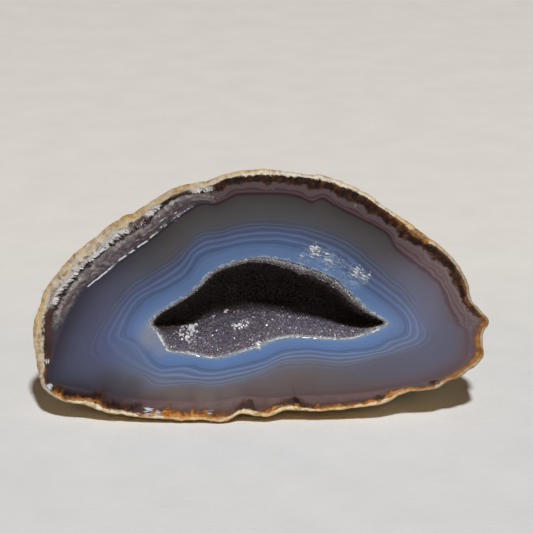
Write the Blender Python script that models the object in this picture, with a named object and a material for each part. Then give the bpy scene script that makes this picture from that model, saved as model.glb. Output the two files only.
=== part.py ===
"""Half of a banded agate geode with a crystal-lined hollow.

The sawn face is worked in millimetres: x runs across it, b up it from its lowest edge, and
t straight back into the stone. The last step leans the face back, sets the stone on z = 0
and turns millimetres into metres. Two solids are made: the stone, and the crust of crystals
in its hollow.
"""

import math

import bmesh
import bpy
import numpy as np
from mathutils import Vector
from mathutils.geometry import delaunay_2d_cdt

# Driving sizes in millimetres and degrees
FACE_LEAN = 21.0
STONE_DEPTH = 42.0
FRONT_LIFT = 1.0
EDGE_BREAK = 0.5
EDGE_WIDTH = 0.7
LEDGE_WIDTH = 7.5
LEDGE_DROP = 1.3
LUMP_HEIGHT = 1.7
PIT_DEPTH = 1.6
HOLLOW_DEPTH = 15.0
SWELL = 0.4
LEFT_SWELL = 2.4
UPPER_SWELL = 1.4
SWELL_DEPTH = 1.6
MORE_SWELL_DEPTH = 2.8
CRUST_GAP = 0.3
CRUST_BASE = 1.0
CRYSTAL_PITCH = 1.85
CRYSTAL_HEIGHT = (0.8, 1.7)
LOWEST_TIP = 0.15

# Directions from the face's centre and half widths, in degrees, of the ledge and the swellings
LEDGE_SIDE = (150.0, 34.0)
LEFT_SIDE = (177.0, 32.0)
UPPER_SIDE = (135.0, 50.0)

# How the profiles curve: powers of the sine and cosine, and the swelling's share of the back
BACK_POWERS = (0.86, 0.96)
HOLLOW_POWER = 0.88
SWELL_SHARE = 0.09

# How finely the surfaces are divided
AROUND = 92
DOME_RINGS = 16
HOLLOW_AROUND = 84
HOLLOW_RINGS = 7
SCATTER_TRIES = 16000

FACE_CENTRE = np.array([0.4, 30.0])
HOLLOW_CENTRE = np.array([2.5, 29.5])

# The stone's widest outline in x and b, clockwise from the left end
STONE_OUTLINE = [
    (-60.0, 21.6), (-59.8, 25.6), (-58.7, 29.8), (-57.0, 34.2), (-55.0, 37.1), (-51.8, 41.3),
    (-48.2, 44.7), (-44.2, 48.0), (-40.2, 51.3), (-36.3, 53.8), (-31.2, 56.5), (-25.6, 60.0),
    (-20.1, 62.2), (-14.1, 63.3), (-9.1, 65.3), (-4.0, 66.0), (2.3, 66.2), (7.2, 65.5),
    (13.8, 64.9), (18.3, 63.9), (24.3, 61.8), (28.4, 59.5), (32.4, 56.5), (37.4, 53.2),
    (41.3, 50.5), (45.4, 47.5), (48.4, 45.0), (51.5, 41.7), (53.4, 38.7), (54.7, 35.8),
    (55.5, 32.1), (57.5, 29.8), (59.7, 27.1), (60.0, 25.6), (58.7, 23.2), (58.5, 20.6),
    (58.6, 17.2), (56.5, 14.6), (52.9, 11.9), (49.5, 10.4), (45.4, 8.3), (37.9, 7.3),
    (34.4, 5.4), (29.4, 4.1), (19.8, 2.8), (13.8, 2.3), (7.2, 3.0), (1.7, 1.1),
    (-4.6, 1.8), (-9.5, -0.2), (-15.6, 0.0), (-30.7, 0.8), (-38.1, 1.8), (-42.2, 2.6),
    (-46.3, 4.3), (-50.7, 4.7), (-53.7, 6.1), (-57.0, 8.1), (-58.1, 10.6), (-59.4, 15.9),
]

# The hollow's mouth in x and b, clockwise from the left tip
HOLLOW_OUTLINE = [
    (-28.8, 25.5), (-27.0, 28.2), (-23.8, 30.2), (-19.3, 33.1), (-16.1, 35.8), (-14.0, 38.1),
    (-11.6, 39.9), (-8.0, 41.3), (-4.4, 42.5), (0.1, 43.0), (4.6, 42.5), (9.2, 41.5),
    (13.7, 39.9), (17.7, 38.3), (20.5, 36.8), (22.7, 34.5), (25.4, 31.8), (28.6, 28.8),
    (33.0, 26.0), (30.8, 24.3), (27.7, 23.0), (23.2, 21.8), (17.7, 21.8), (13.2, 22.1),
    (8.3, 22.3), (4.6, 21.8), (1.0, 20.5), (-2.6, 19.1), (-6.2, 18.0), (-9.8, 17.1),
    (-13.4, 16.9), (-19.3, 18.0), (-23.4, 18.3), (-24.9, 19.8), (-25.8, 21.8), (-27.4, 23.7),
]


def smooth_step(value, low, high):
    """Rise from 0 at low to 1 at high along a smooth S curve."""
    s = np.clip((value - low) / (high - low), 0.0, 1.0)
    return s * s * (3.0 - 2.0 * s)


def closed_curve(points, count):
    """A smooth closed curve through the points, cut into equal steps of length."""
    p = np.array(points, dtype=float)
    s = np.linspace(0.0, 1.0, 12, endpoint=False)[:, None]
    before = np.roll(p, 1, axis=0)
    after = np.roll(p, -1, axis=0)
    later = np.roll(p, -2, axis=0)
    a = p[:, None, :]
    b = (after - before)[:, None, :] * 0.5
    c = (before - 2.5 * p + 2.0 * after - 0.5 * later)[:, None, :]
    d = (-0.5 * before + 1.5 * p - 1.5 * after + 0.5 * later)[:, None, :]
    fine = (a + b * s + c * s ** 2 + d * s ** 3).reshape(-1, 2)
    loop = np.vstack([fine, fine[:1]])
    run = np.concatenate([[0.0], np.cumsum(np.linalg.norm(np.diff(loop, axis=0), axis=1))])
    at = np.linspace(0.0, run[-1], count, endpoint=False)
    return np.stack([np.interp(at, run, loop[:, k]) for k in range(2)], axis=1)


def outward(curve):
    """Unit normals that point out of a clockwise closed curve."""
    along = np.roll(curve, -1, axis=0) - np.roll(curve, 1, axis=0)
    across = np.stack([-along[:, 1], along[:, 0]], axis=1)
    return across / np.linalg.norm(across, axis=1, keepdims=True)


def even_out(values, times):
    """Average each value of a closed ring with its neighbours, several times."""
    for _ in range(times):
        values = 0.5 * values + 0.25 * (np.roll(values, 1, axis=0) + np.roll(values, -1, axis=0))
    return values


def waves(points, wavelength, seed):
    """Smooth noise near -1 to 1: twelve plane waves summed in random directions."""
    rng = np.random.default_rng(seed)
    total = np.zeros(points.shape[:-1])
    for _ in range(12):
        direction = rng.normal(size=3)
        direction = direction / np.linalg.norm(direction)
        length = wavelength * rng.uniform(0.7, 1.5)
        phase = rng.uniform(0.0, 2.0 * math.pi)
        total = total + np.sin(points @ direction * 2.0 * math.pi / length + phase)
    return total / math.sqrt(12.0)


def side_weight(curve, degrees, half_width):
    """1 in one direction from the face's centre, falling to 0 at half_width degrees from it."""
    d = curve - FACE_CENTRE
    turn = np.degrees(np.arctan2(d[:, 1], d[:, 0])) - degrees
    turn = (turn + 180.0) % 360.0 - 180.0
    return 1.0 - smooth_step(np.abs(turn), 0.35 * half_width, half_width)


def rounded_back(outline):
    """Rings of the rough back, from the face's outline to the last ring before the pole."""
    left = side_weight(outline, *LEFT_SIDE)
    upper = side_weight(outline, *UPPER_SIDE)
    swell = SWELL + LEFT_SWELL * left + UPPER_SWELL * upper
    swell_depth = SWELL_DEPTH + MORE_SWELL_DEPTH * np.maximum(left, upper)
    normal = even_out(outward(outline), 2)
    ledge = side_weight(outline, *LEDGE_SIDE)
    front_depth = EDGE_BREAK + LEDGE_DROP * ledge
    rings = []
    steps = np.linspace(0.0, 1.0, DOME_RINGS, endpoint=False)
    for step in steps:
        reach = 1.0 - smooth_step(step, 0.0, SWELL_SHARE)
        angle = math.radians(90.0) * max(0.0, step - SWELL_SHARE) / (1.0 - SWELL_SHARE)
        narrow = math.cos(angle) ** BACK_POWERS[0]
        back = math.sin(angle) ** BACK_POWERS[1]
        depth = front_depth + (swell_depth - front_depth) * (1.0 - reach)
        depth = depth + (STONE_DEPTH - swell_depth) * back
        flat = FACE_CENTRE + (outline - FACE_CENTRE) * narrow
        flat = flat - normal * (swell * reach)[:, None]
        rings.append(np.column_stack([flat, depth]))
    return np.array(rings)


def add_lumps(grid):
    """Lumps, ledges and pits on the back, none at the widest outline or near the sawn flat."""
    centre = np.array([FACE_CENTRE[0], FACE_CENTRE[1], 4.0])
    away = grid - centre
    away = away / np.linalg.norm(away, axis=2, keepdims=True)
    clear = smooth_step(to_world(grid)[:, :, 2], -1.0, 6.0)
    rise = smooth_step(grid[:, :, 2], 5.0, 17.0) * clear
    broad = waves(grid, 26.0, 11)
    fine = waves(grid, 11.0, 12)
    step = np.tanh(5.0 * waves(grid, 19.0, 13))
    pit = smooth_step(waves(grid, 9.0, 14), 0.9, 1.7)
    height = LUMP_HEIGHT * (0.65 * broad + 0.3 * fine + 0.3 * step - 0.35) - PIT_DEPTH * pit
    return grid + away * (height * rise)[:, :, None]


def hollow_point(mouth, step, inward=0.0):
    """A point of the hollow's wall: step 0 is the mouth and step 1 the deepest point."""
    angle = np.radians(90.0) * step
    out = np.cos(angle) ** HOLLOW_POWER
    depth = HOLLOW_DEPTH * np.sin(angle) ** HOLLOW_POWER
    flat = HOLLOW_CENTRE + (mouth - HOLLOW_CENTRE) * out[..., None]
    wall = np.concatenate([flat, depth[..., None]], axis=-1)
    if inward == 0.0:
        return wall
    return wall + hollow_normal(mouth, step) * inward


def hollow_normal(mouth, step):
    """Unit direction from the hollow's wall into its empty middle."""
    spread = mouth - HOLLOW_CENTRE
    angle = np.radians(90.0) * step
    radius = np.linalg.norm(spread, axis=-1)
    out = np.cos(angle) ** (2.0 - HOLLOW_POWER) / radius
    down = np.sin(angle) ** (2.0 - HOLLOW_POWER) / HOLLOW_DEPTH
    unit = spread / radius[..., None]
    normal = np.concatenate([-unit * out[..., None], -down[..., None]], axis=-1)
    return normal / np.linalg.norm(normal, axis=-1, keepdims=True)


def to_world(points):
    """Lean the face back, in millimetres, with the front lower edge just above z = 0."""
    lean = math.radians(FACE_LEAN)
    x, b, t = points[..., 0], points[..., 1], points[..., 2]
    y = b * math.sin(lean) + t * math.cos(lean)
    z = b * math.cos(lean) - t * math.sin(lean) + FRONT_LIFT
    return np.stack([x, y, z], axis=-1)


def ring_faces(lower, upper):
    """Quads between two rings of vertex numbers of equal length."""
    n = len(lower)
    return [(lower[i], lower[(i + 1) % n], upper[(i + 1) % n], upper[i]) for i in range(n)]


def fan_faces(ring, tip):
    """Triangles from a ring of vertex numbers to one tip."""
    n = len(ring)
    return [(ring[i], ring[(i + 1) % n], tip) for i in range(n)]


def inside(points, loop):
    """True for each point that lies inside the closed loop."""
    x, y = points[:, 0][:, None], points[:, 1][:, None]
    x0, y0 = loop[:, 0][None, :], loop[:, 1][None, :]
    x1, y1 = np.roll(x0, -1, axis=1), np.roll(y0, -1, axis=1)
    spans = (y0 > y) != (y1 > y)
    rise = np.where(y1 == y0, 1.0, y1 - y0)
    crossing = x0 + (y - y0) / rise * (x1 - x0)
    return (np.sum(spans & (x < crossing), axis=1) % 2) == 1


def flat_ring_faces(outer, inner, outer_ids, inner_ids):
    """Triangles of the flat area between two closed outlines."""
    points = np.vstack([outer, inner])
    ids = list(outer_ids) + list(inner_ids)
    n, m = len(outer), len(inner)
    edges = [(i, (i + 1) % n) for i in range(n)]
    edges = edges + [(n + i, n + (i + 1) % m) for i in range(m)]
    result = delaunay_2d_cdt([Vector(p) for p in points], edges, [], 0, 1e-6)
    corners = np.array(result[2])
    middle = points[corners].mean(axis=1)
    keep = inside(middle, outer) & ~inside(middle, inner)
    return [tuple(ids[k] for k in corner) for corner in corners[keep]]


def build_mesh(name, points, faces):
    """A closed, triangulated mesh, sawn flat at z = 0, with every face turned outward."""
    work = bmesh.new()
    verts = [work.verts.new(p) for p in points]
    for face in faces:
        work.faces.new([verts[k] for k in face])
    everything = work.verts[:] + work.edges[:] + work.faces[:]
    cut = bmesh.ops.bisect_plane(
        work, geom=everything, plane_co=(0.0, 0.0, 0.0), plane_no=(0.0, 0.0, -1.0), clear_outer=True
    )
    edge = [item for item in cut["geom_cut"] if isinstance(item, bmesh.types.BMEdge)]
    if edge:
        bmesh.ops.edgeloop_fill(work, edges=edge)
        ring = [v for v in work.verts if abs(v.co.z) < 1e-7]
        bmesh.ops.remove_doubles(work, verts=ring, dist=0.0001)
    bmesh.ops.triangulate(work, faces=work.faces[:])
    bmesh.ops.recalc_face_normals(work, faces=work.faces[:])
    open_edges = [e for e in work.edges if len(e.link_faces) != 2]
    print(name, "triangles", len(work.faces), "open edges", len(open_edges))
    mesh = bpy.data.meshes.new(name)
    work.to_mesh(mesh)
    work.free()
    return mesh


def material(name, colour, roughness):
    """A plain material with one colour."""
    made = bpy.data.materials.new(name)
    made.use_nodes = True
    shader = made.node_tree.nodes["Principled BSDF"]
    shader.inputs["Base Color"].default_value = (*colour, 1.0)
    shader.inputs["Roughness"].default_value = roughness
    shader.inputs["Metallic"].default_value = 0.0
    return made


def make_stone(mouth, outline):
    """Points and faces of the stone, in millimetres, before the lean."""
    back = add_lumps(rounded_back(outline))
    face_edge = back[0, :, :2]
    ledge = side_weight(face_edge, *LEDGE_SIDE)
    inset = EDGE_WIDTH + (LEDGE_WIDTH - EDGE_WIDTH) * ledge
    polished = face_edge - even_out(outward(face_edge), 3) * inset[:, None]
    polished = even_out(polished, 1)
    pole = back[-1].mean(axis=0)
    pole[2] = STONE_DEPTH

    points = []
    faces = []
    rings = []
    for step in np.linspace(0.0, 1.0, HOLLOW_RINGS, endpoint=False):
        ring = hollow_point(mouth, np.full(len(mouth), step))
        rings.append(list(range(len(points), len(points) + len(ring))))
        points.extend(ring)
    points.append(hollow_point(HOLLOW_CENTRE[None, :], np.array([1.0]))[0])
    for lower, upper in zip(rings, rings[1:]):
        faces.extend(ring_faces(lower, upper))
    faces.extend(fan_faces(rings[-1], len(points) - 1))

    front = list(range(len(points), len(points) + AROUND))
    points.extend(np.column_stack([polished, np.zeros(AROUND)]))
    faces.extend(flat_ring_faces(polished, mouth, front, rings[0]))
    last = front
    for ring in back:
        now = list(range(len(points), len(points) + AROUND))
        points.extend(ring)
        faces.extend(ring_faces(last, now))
        last = now
    points.append(pole)
    faces.extend(fan_faces(last, len(points) - 1))
    return np.array(points), faces


def scatter(mouth, rim):
    """Crystal places on the hollow's wall, spread at random but never closer than a pitch."""
    rng = np.random.default_rng(5)
    base = CRUST_GAP + CRUST_BASE
    turn = rng.uniform(0.0, len(mouth), SCATTER_TRIES)
    low = np.floor(turn).astype(int)
    part = (turn - low)[:, None]
    edge = mouth[low] * (1.0 - part) + mouth[(low + 1) % len(mouth)] * part
    step = np.degrees(np.arccos(rng.uniform(0.0, 1.0, SCATTER_TRIES))) / 90.0
    spots = hollow_point(edge, step, base)
    kept = []
    taken = [p for p in rim]
    for i, spot in enumerate(spots):
        near = np.min(np.linalg.norm(np.array(taken) - spot, axis=1))
        if near > 0.8 * CRYSTAL_PITCH and spot[2] > 0.7:
            kept.append(i)
            taken.append(spot)
    return edge[kept], step[kept]


def unroll(mouth, step):
    """Flat plan of the hollow's wall: direction as seen from the front, distance along it."""
    spread = mouth - HOLLOW_CENTRE
    radius = np.linalg.norm(spread, axis=-1)
    fine = np.linspace(0.0, 1.0, 60)
    angle = np.radians(90.0) * (1.0 - fine)
    across = np.cos(angle[None, :]) ** HOLLOW_POWER * radius[:, None]
    down = np.broadcast_to(HOLLOW_DEPTH * np.sin(angle) ** HOLLOW_POWER, across.shape)
    length = np.hypot(np.diff(across, axis=1), np.diff(down, axis=1))
    length = np.concatenate([np.zeros((len(radius), 1)), np.cumsum(length, axis=1)], axis=1)
    reach = np.array([np.interp(1.0 - s, fine, row) for s, row in zip(step, length)])
    return spread / radius[:, None] * reach[:, None]


def make_crust(mouth):
    """Points and faces of the crystal crust, in millimetres, before the lean."""
    rng = np.random.default_rng(8)
    base = CRUST_GAP + CRUST_BASE
    n = len(mouth)
    zero = np.zeros(n)
    rim = hollow_point(mouth, zero, base)
    edge, step = scatter(mouth, rim)
    spots = hollow_point(edge, step, base)
    flat = np.vstack([unroll(mouth, zero), unroll(edge, step)])
    loop = [(i, (i + 1) % n) for i in range(n)]
    result = delaunay_2d_cdt([Vector(p) for p in flat], loop, [], 1, 1e-6)
    corners = np.array(result[2])

    every = np.vstack([rim, spots])
    valleys = every[corners].mean(axis=1)
    lean = rng.normal(0.0, 0.28, (len(spots), 3))
    tall = rng.uniform(*CRYSTAL_HEIGHT, len(spots))
    aim = hollow_normal(edge, step) + lean
    tips = spots + aim / np.linalg.norm(aim, axis=1, keepdims=True) * tall[:, None]
    tips[:, 2] = np.maximum(tips[:, 2], LOWEST_TIP)
    points = [p for p in rim] + [p for p in tips] + [p for p in valleys]

    first = len(rim) + len(tips)
    sides = {}
    for k, (i, j, l) in enumerate(corners):
        for a, b in ((i, j), (j, l), (l, i)):
            sides.setdefault((min(a, b), max(a, b)), []).append(first + k)
    faces = []
    for (a, b), near in sides.items():
        if len(near) == 1:
            faces.append((a, b, near[0]))
            continue
        faces.append((a, near[0], near[1]))
        faces.append((b, near[1], near[0]))

    last = list(range(n))
    for at in np.linspace(0.0, 1.0, HOLLOW_RINGS, endpoint=False):
        ring = hollow_point(mouth, np.full(n, at), CRUST_GAP)
        now = list(range(len(points), len(points) + n))
        points.extend(ring)
        faces.extend(ring_faces(last, now))
        last = now
    points.append(np.append(HOLLOW_CENTRE, HOLLOW_DEPTH - CRUST_GAP))
    faces.extend(fan_faces(last, len(points) - 1))
    return np.array(points), faces


for old in list(bpy.data.objects):
    bpy.data.objects.remove(old, do_unlink=True)

outline = closed_curve(STONE_OUTLINE, AROUND)
mouth = closed_curve(HOLLOW_OUTLINE, HOLLOW_AROUND)
stone_points, stone_faces = make_stone(mouth, outline)
crust_points, crust_faces = make_crust(mouth)

# The origin is the middle of the stone's width and of its thickness, on the floor
stone_world = to_world(stone_points)
crust_world = to_world(crust_points)
above = stone_world[stone_world[:, 2] > 0.0]
shift = np.array([0.0, -0.5 * (above[:, 1].min() + above[:, 1].max()), 0.0])
print("size in mm", np.round(np.ptp(above, axis=0), 2), "shift", np.round(shift, 3))

PIECES = (
    ("geode_half", stone_world, stone_faces, (0.13, 0.145, 0.2), 0.3),
    ("crystal_lining", crust_world, crust_faces, (0.2, 0.2, 0.25), 0.2),
)
for name, points, faces, colour, roughness in PIECES:
    mesh = build_mesh(name, (points + shift) * 0.001, faces)
    mesh.materials.append(material(name, colour, roughness))
    bpy.context.scene.collection.objects.link(bpy.data.objects.new(name, mesh))
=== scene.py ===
# %% [markdown]
# A polished half of a banded agate geode. This lesson dresses the solids: it builds the
# stone as one fine surface with its growth bands, and fills the hollow with small crystals.
# Both pieces are worked out in the face's own millimetres and then leaned back into place.

# %% Load the solids
import math

import bpy
import numpy as np
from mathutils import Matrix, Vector


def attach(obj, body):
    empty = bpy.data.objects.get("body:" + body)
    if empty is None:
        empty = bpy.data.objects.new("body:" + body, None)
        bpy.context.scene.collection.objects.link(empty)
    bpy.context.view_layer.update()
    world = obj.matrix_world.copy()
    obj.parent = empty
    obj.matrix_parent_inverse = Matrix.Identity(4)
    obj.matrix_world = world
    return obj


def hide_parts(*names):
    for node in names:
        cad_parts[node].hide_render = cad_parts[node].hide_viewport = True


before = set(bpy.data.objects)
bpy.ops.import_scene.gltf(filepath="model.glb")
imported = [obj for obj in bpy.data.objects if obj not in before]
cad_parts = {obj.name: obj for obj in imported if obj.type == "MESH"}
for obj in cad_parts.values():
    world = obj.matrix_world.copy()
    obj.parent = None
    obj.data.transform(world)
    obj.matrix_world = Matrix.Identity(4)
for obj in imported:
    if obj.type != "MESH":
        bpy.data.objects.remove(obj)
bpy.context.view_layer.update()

# %% [markdown]
# The sawn face is a plane that leans back. On it, x runs to the right and b up from the lowest
# edge, and t goes straight back into the stone. The sizes are those of the solids. Only the
# distance from the face to the origin is read back from them, so the two always agree.

# %% Name the sizes and find the face
MM = 0.001
FACE_LEAN = math.radians(21.0)
FRONT_LIFT = 1.0
STONE_DEPTH = 42.0
HOLLOW_DEPTH = 15.0
# Powers of the cosine and of the sine that round the back, and one power for the hollow
BACK_POWERS = (0.86, 0.96)
HOLLOW_POWER = 0.88
EDGE_BREAK = 0.5
EDGE_JAGS = 0.22
LUMP_HEIGHT = 1.7
PIT_DEPTH = 1.6
# The finer relief: bumps and dents of the back, the rough strip and the rough rim of the face
BUMP_HEIGHT = 0.32
DENT_DEPTH = 0.55
STRIP_ROUGHNESS = 0.22
RIM_ROUGHNESS = 0.13
# How far the back swells past the face: all round, and more at the left and the upper left.
# Then how deep the swell goes, and over which share of the rings.
SWELL = (0.4, 2.4, 1.4)
SWELL_DEPTH = (1.6, 2.8)
SWELL_SHARE = 0.09
# Sides of the rim as a direction and a half width in degrees, and the drop of the broken ledge
LEDGE_SIDE = (150.0, 34.0)
LEFT_SIDE = (177.0, 32.0)
UPPER_SIDE = (135.0, 50.0)
LEDGE_DROP = 1.3
FACE_CENTRE = np.array([0.4, 30.0])
HOLLOW_CENTRE = np.array([2.5, 29.5])

# Points round the stone and round the hollow's mouth
AROUND = 540
MOUTH_AROUND = 300

face_normal = np.array([0.0, -math.cos(FACE_LEAN), math.sin(FACE_LEAN)])
stone_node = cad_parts["geode_half"]
solid = np.empty(3 * len(stone_node.data.vertices))
stone_node.data.vertices.foreach_get("co", solid)
face_offset = (solid.reshape(-1, 3) @ face_normal).max() / MM
SHIFT_Y = (math.sin(FACE_LEAN) * FRONT_LIFT - face_offset) / math.cos(FACE_LEAN)
print("face plane", round(face_offset, 3), "mm from the origin, shift", round(SHIFT_Y, 3), "mm")


def to_world(points):
    """Turn (x, b, t) in millimetres into metres: b goes up the leaning face, t goes into it."""
    x, b, t = points[..., 0], points[..., 1], points[..., 2]
    y = b * math.sin(FACE_LEAN) + t * math.cos(FACE_LEAN) + SHIFT_Y
    z = b * math.cos(FACE_LEAN) - t * math.sin(FACE_LEAN) + FRONT_LIFT
    return np.stack([x, y, z], axis=-1) * MM


def with_depth(flat, depth):
    """Points (x, b) on the face and their depths t, joined to (x, b, t)."""
    return np.concatenate([flat, depth[..., None]], axis=-1)


def unit(vectors):
    """The same directions with length 1."""
    return vectors / np.linalg.norm(vectors, axis=-1, keepdims=True)


# %% [markdown]
# Agate grows in layers, and each layer keeps the shape of the cavity at that moment. Five closed
# outlines tell most of the story: the stone's edge, the start of the mauve zone, the two strong
# lines around the blue bands, and the hollow's mouth. Everything between is blended from them.

# %% Trace the growth fronts
STONE_OUTLINE = [
    (-60.0, 21.6), (-59.8, 25.6), (-58.7, 29.8), (-57.0, 34.2), (-55.0, 37.1), (-51.8, 41.3),
    (-48.2, 44.7), (-44.2, 48.0), (-40.2, 51.3), (-36.3, 53.8), (-31.2, 56.5), (-25.6, 60.0),
    (-20.1, 62.2), (-14.1, 63.3), (-9.1, 65.3), (-4.0, 66.0), (2.3, 66.2), (7.2, 65.5),
    (13.8, 64.9), (18.3, 63.9), (24.3, 61.8), (28.4, 59.5), (32.4, 56.5), (37.4, 53.2),
    (41.3, 50.5), (45.4, 47.5), (48.4, 45.0), (51.5, 41.7), (53.4, 38.7), (54.7, 35.8),
    (55.5, 32.1), (57.5, 29.8), (59.7, 27.1), (60.0, 25.6), (58.7, 23.2), (58.5, 20.6),
    (58.6, 17.2), (56.5, 14.6), (52.9, 11.9), (49.5, 10.4), (45.4, 8.3), (37.9, 7.3), (34.4, 5.4),
    (29.4, 4.1), (19.8, 2.8), (13.8, 2.3), (7.2, 3.0), (1.7, 1.1), (-4.6, 1.8), (-9.5, -0.2),
    (-15.6, 0.0), (-30.7, 0.8), (-38.1, 1.8), (-42.2, 2.6), (-46.3, 4.3), (-50.7, 4.7),
    (-53.7, 6.1), (-57.0, 8.1), (-58.1, 10.6), (-59.4, 15.9),
]
MAUVE_OUTLINE = [
    (-55.5, 12.7), (-53.6, 19.3), (-50.8, 26.1), (-47.6, 32.3), (-45.2, 35.0), (-41.2, 38.2),
    (-36.2, 42.4), (-30.4, 46.6), (-25.4, 50.6), (-22.2, 53.2), (-19.0, 55.3), (-15.6, 57.2),
    (-12.2, 57.0), (-9.0, 58.3), (-5.9, 59.7), (0.4, 59.9), (6.3, 59.8), (10.4, 59.0),
    (13.5, 57.7), (16.4, 58.6), (19.6, 56.8), (25.9, 53.6), (29.5, 51.8), (33.6, 49.2),
    (35.8, 45.5), (40.4, 41.8), (44.0, 39.1), (47.6, 35.5), (50.0, 29.5), (52.3, 25.4),
    (54.4, 23.7), (54.6, 19.0), (53.2, 15.2), (48.6, 12.3), (43.9, 10.6), (36.8, 9.1), (23.5, 7.3),
    (9.1, 6.7), (2.5, 6.2), (-5.3, 6.7), (-12.2, 5.4), (-26.3, 5.6), (-34.2, 6.4), (-42.1, 8.0),
    (-52.6, 9.8), (-54.9, 10.9),
]
OUTER_LINE = [
    (-44.4, 18.8), (-42.1, 24.5), (-37.9, 30.3), (-33.1, 35.8), (-27.4, 39.7), (-21.9, 43.1),
    (-16.9, 48.6), (-10.3, 50.0), (-5.9, 51.3), (0.4, 51.9), (7.2, 51.5), (14.1, 50.0),
    (23.2, 46.3), (29.5, 41.3), (35.0, 36.3), (39.5, 32.6), (42.1, 28.2), (44.2, 23.7),
    (42.9, 20.3), (37.9, 18.2), (31.9, 16.9), (25.9, 15.3), (21.8, 14.6), (14.1, 15.4),
    (6.3, 15.1), (0.4, 12.6), (-5.9, 10.6), (-12.2, 9.3), (-17.7, 9.6), (-25.8, 9.3),
    (-28.7, 10.1), (-31.3, 12.2), (-36.8, 13.8), (-42.1, 15.9),
]
INNER_LINE = [
    (-36.8, 22.4), (-35.0, 27.1), (-33.1, 30.6), (-31.3, 32.6), (-27.4, 34.7), (-23.2, 36.8),
    (-19.5, 39.5), (-16.9, 43.7), (-13.7, 45.2), (-10.3, 45.9), (-4.8, 47.1), (0.4, 47.6),
    (6.2, 47.7), (13.0, 45.8), (20.9, 41.8), (27.2, 36.3), (32.2, 32.6), (36.9, 29.5),
    (38.7, 26.4), (38.7, 22.7), (34.0, 20.8), (30.3, 18.8), (23.2, 17.7), (18.5, 18.0),
    (11.7, 18.6), (6.3, 17.7), (0.4, 15.2), (-5.9, 14.0), (-11.4, 12.7), (-15.8, 12.5),
    (-19.5, 13.8), (-25.8, 13.6), (-28.7, 15.1), (-30.5, 17.7), (-33.1, 20.5),
]
HOLLOW_OUTLINE = [
    (-28.8, 25.5), (-27.0, 28.2), (-23.8, 30.2), (-19.3, 33.1), (-16.1, 35.8), (-14.0, 38.1),
    (-11.6, 39.9), (-8.0, 41.3), (-4.4, 42.5), (0.1, 43.0), (4.6, 42.5), (9.2, 41.5), (13.7, 39.9),
    (17.7, 38.3), (20.5, 36.8), (22.7, 34.5), (25.4, 31.8), (28.6, 28.8), (33.0, 26.0),
    (30.8, 24.3), (27.7, 23.0), (23.2, 21.8), (17.7, 21.8), (13.2, 22.1), (8.3, 22.3), (4.6, 21.8),
    (1.0, 20.5), (-2.6, 19.1), (-6.2, 18.0), (-9.8, 17.1), (-13.4, 16.9), (-19.3, 18.0),
    (-23.4, 18.3), (-24.9, 19.8), (-25.8, 21.8), (-27.4, 23.7),
]
traced = (STONE_OUTLINE, MAUVE_OUTLINE, OUTER_LINE, INNER_LINE, HOLLOW_OUTLINE)
print("points in the traced loops", [len(loop) for loop in traced])

# %% [markdown]
# Round the rim no two places are alike, so tables tell what changes with the direction, counted
# in degrees from the hollow's centre. The widths are in millimetres. The others are strengths,
# from 0 to 1, where the dark layer goes up to 2. At a cusp the dark layer pokes in between two
# arches of the mauve zone.

# %% List what changes round the rim
# Direction, width of the rind, and width of rind and dark layer together
LAYER_WIDTHS = [
    (0, 1.15, 3.0), (10, 1.0, 2.7), (20, 1.15, 3.4), (26, 2.1, 3.8), (32, 1.3, 3.2),
    (40, 1.0, 3.1), (50, 1.1, 3.3), (60, 1.6, 3.3), (70, 1.25, 3.2), (90, 1.6, 3.3),
    (100, 2.0, 3.3), (108, 1.7, 3.0), (116, 1.2, 3.6), (121, 1.7, 3.5), (130, 1.5, 2.9),
    (135, 2.0, 3.3), (140, 1.5, 3.7), (144, 2.9, 4.6), (148, 3.6, 5.4), (151, 3.4, 5.6),
    (155, 2.7, 5.3), (159, 1.9, 5.1), (163, 1.7, 5.0), (169, 2.0, 5.2), (175, 2.1, 5.4),
    (181, 2.9, 5.1), (187, 3.5, 4.9), (194, 2.0, 4.4), (200, 1.2, 3.7), (207, 1.3, 3.6),
    (225, 1.2, 4.0), (250, 1.4, 4.3), (270, 1.3, 4.3), (300, 1.1, 3.4), (318, 1.1, 2.9),
    (332, 1.1, 2.6), (345, 1.3, 2.9),
]
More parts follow.
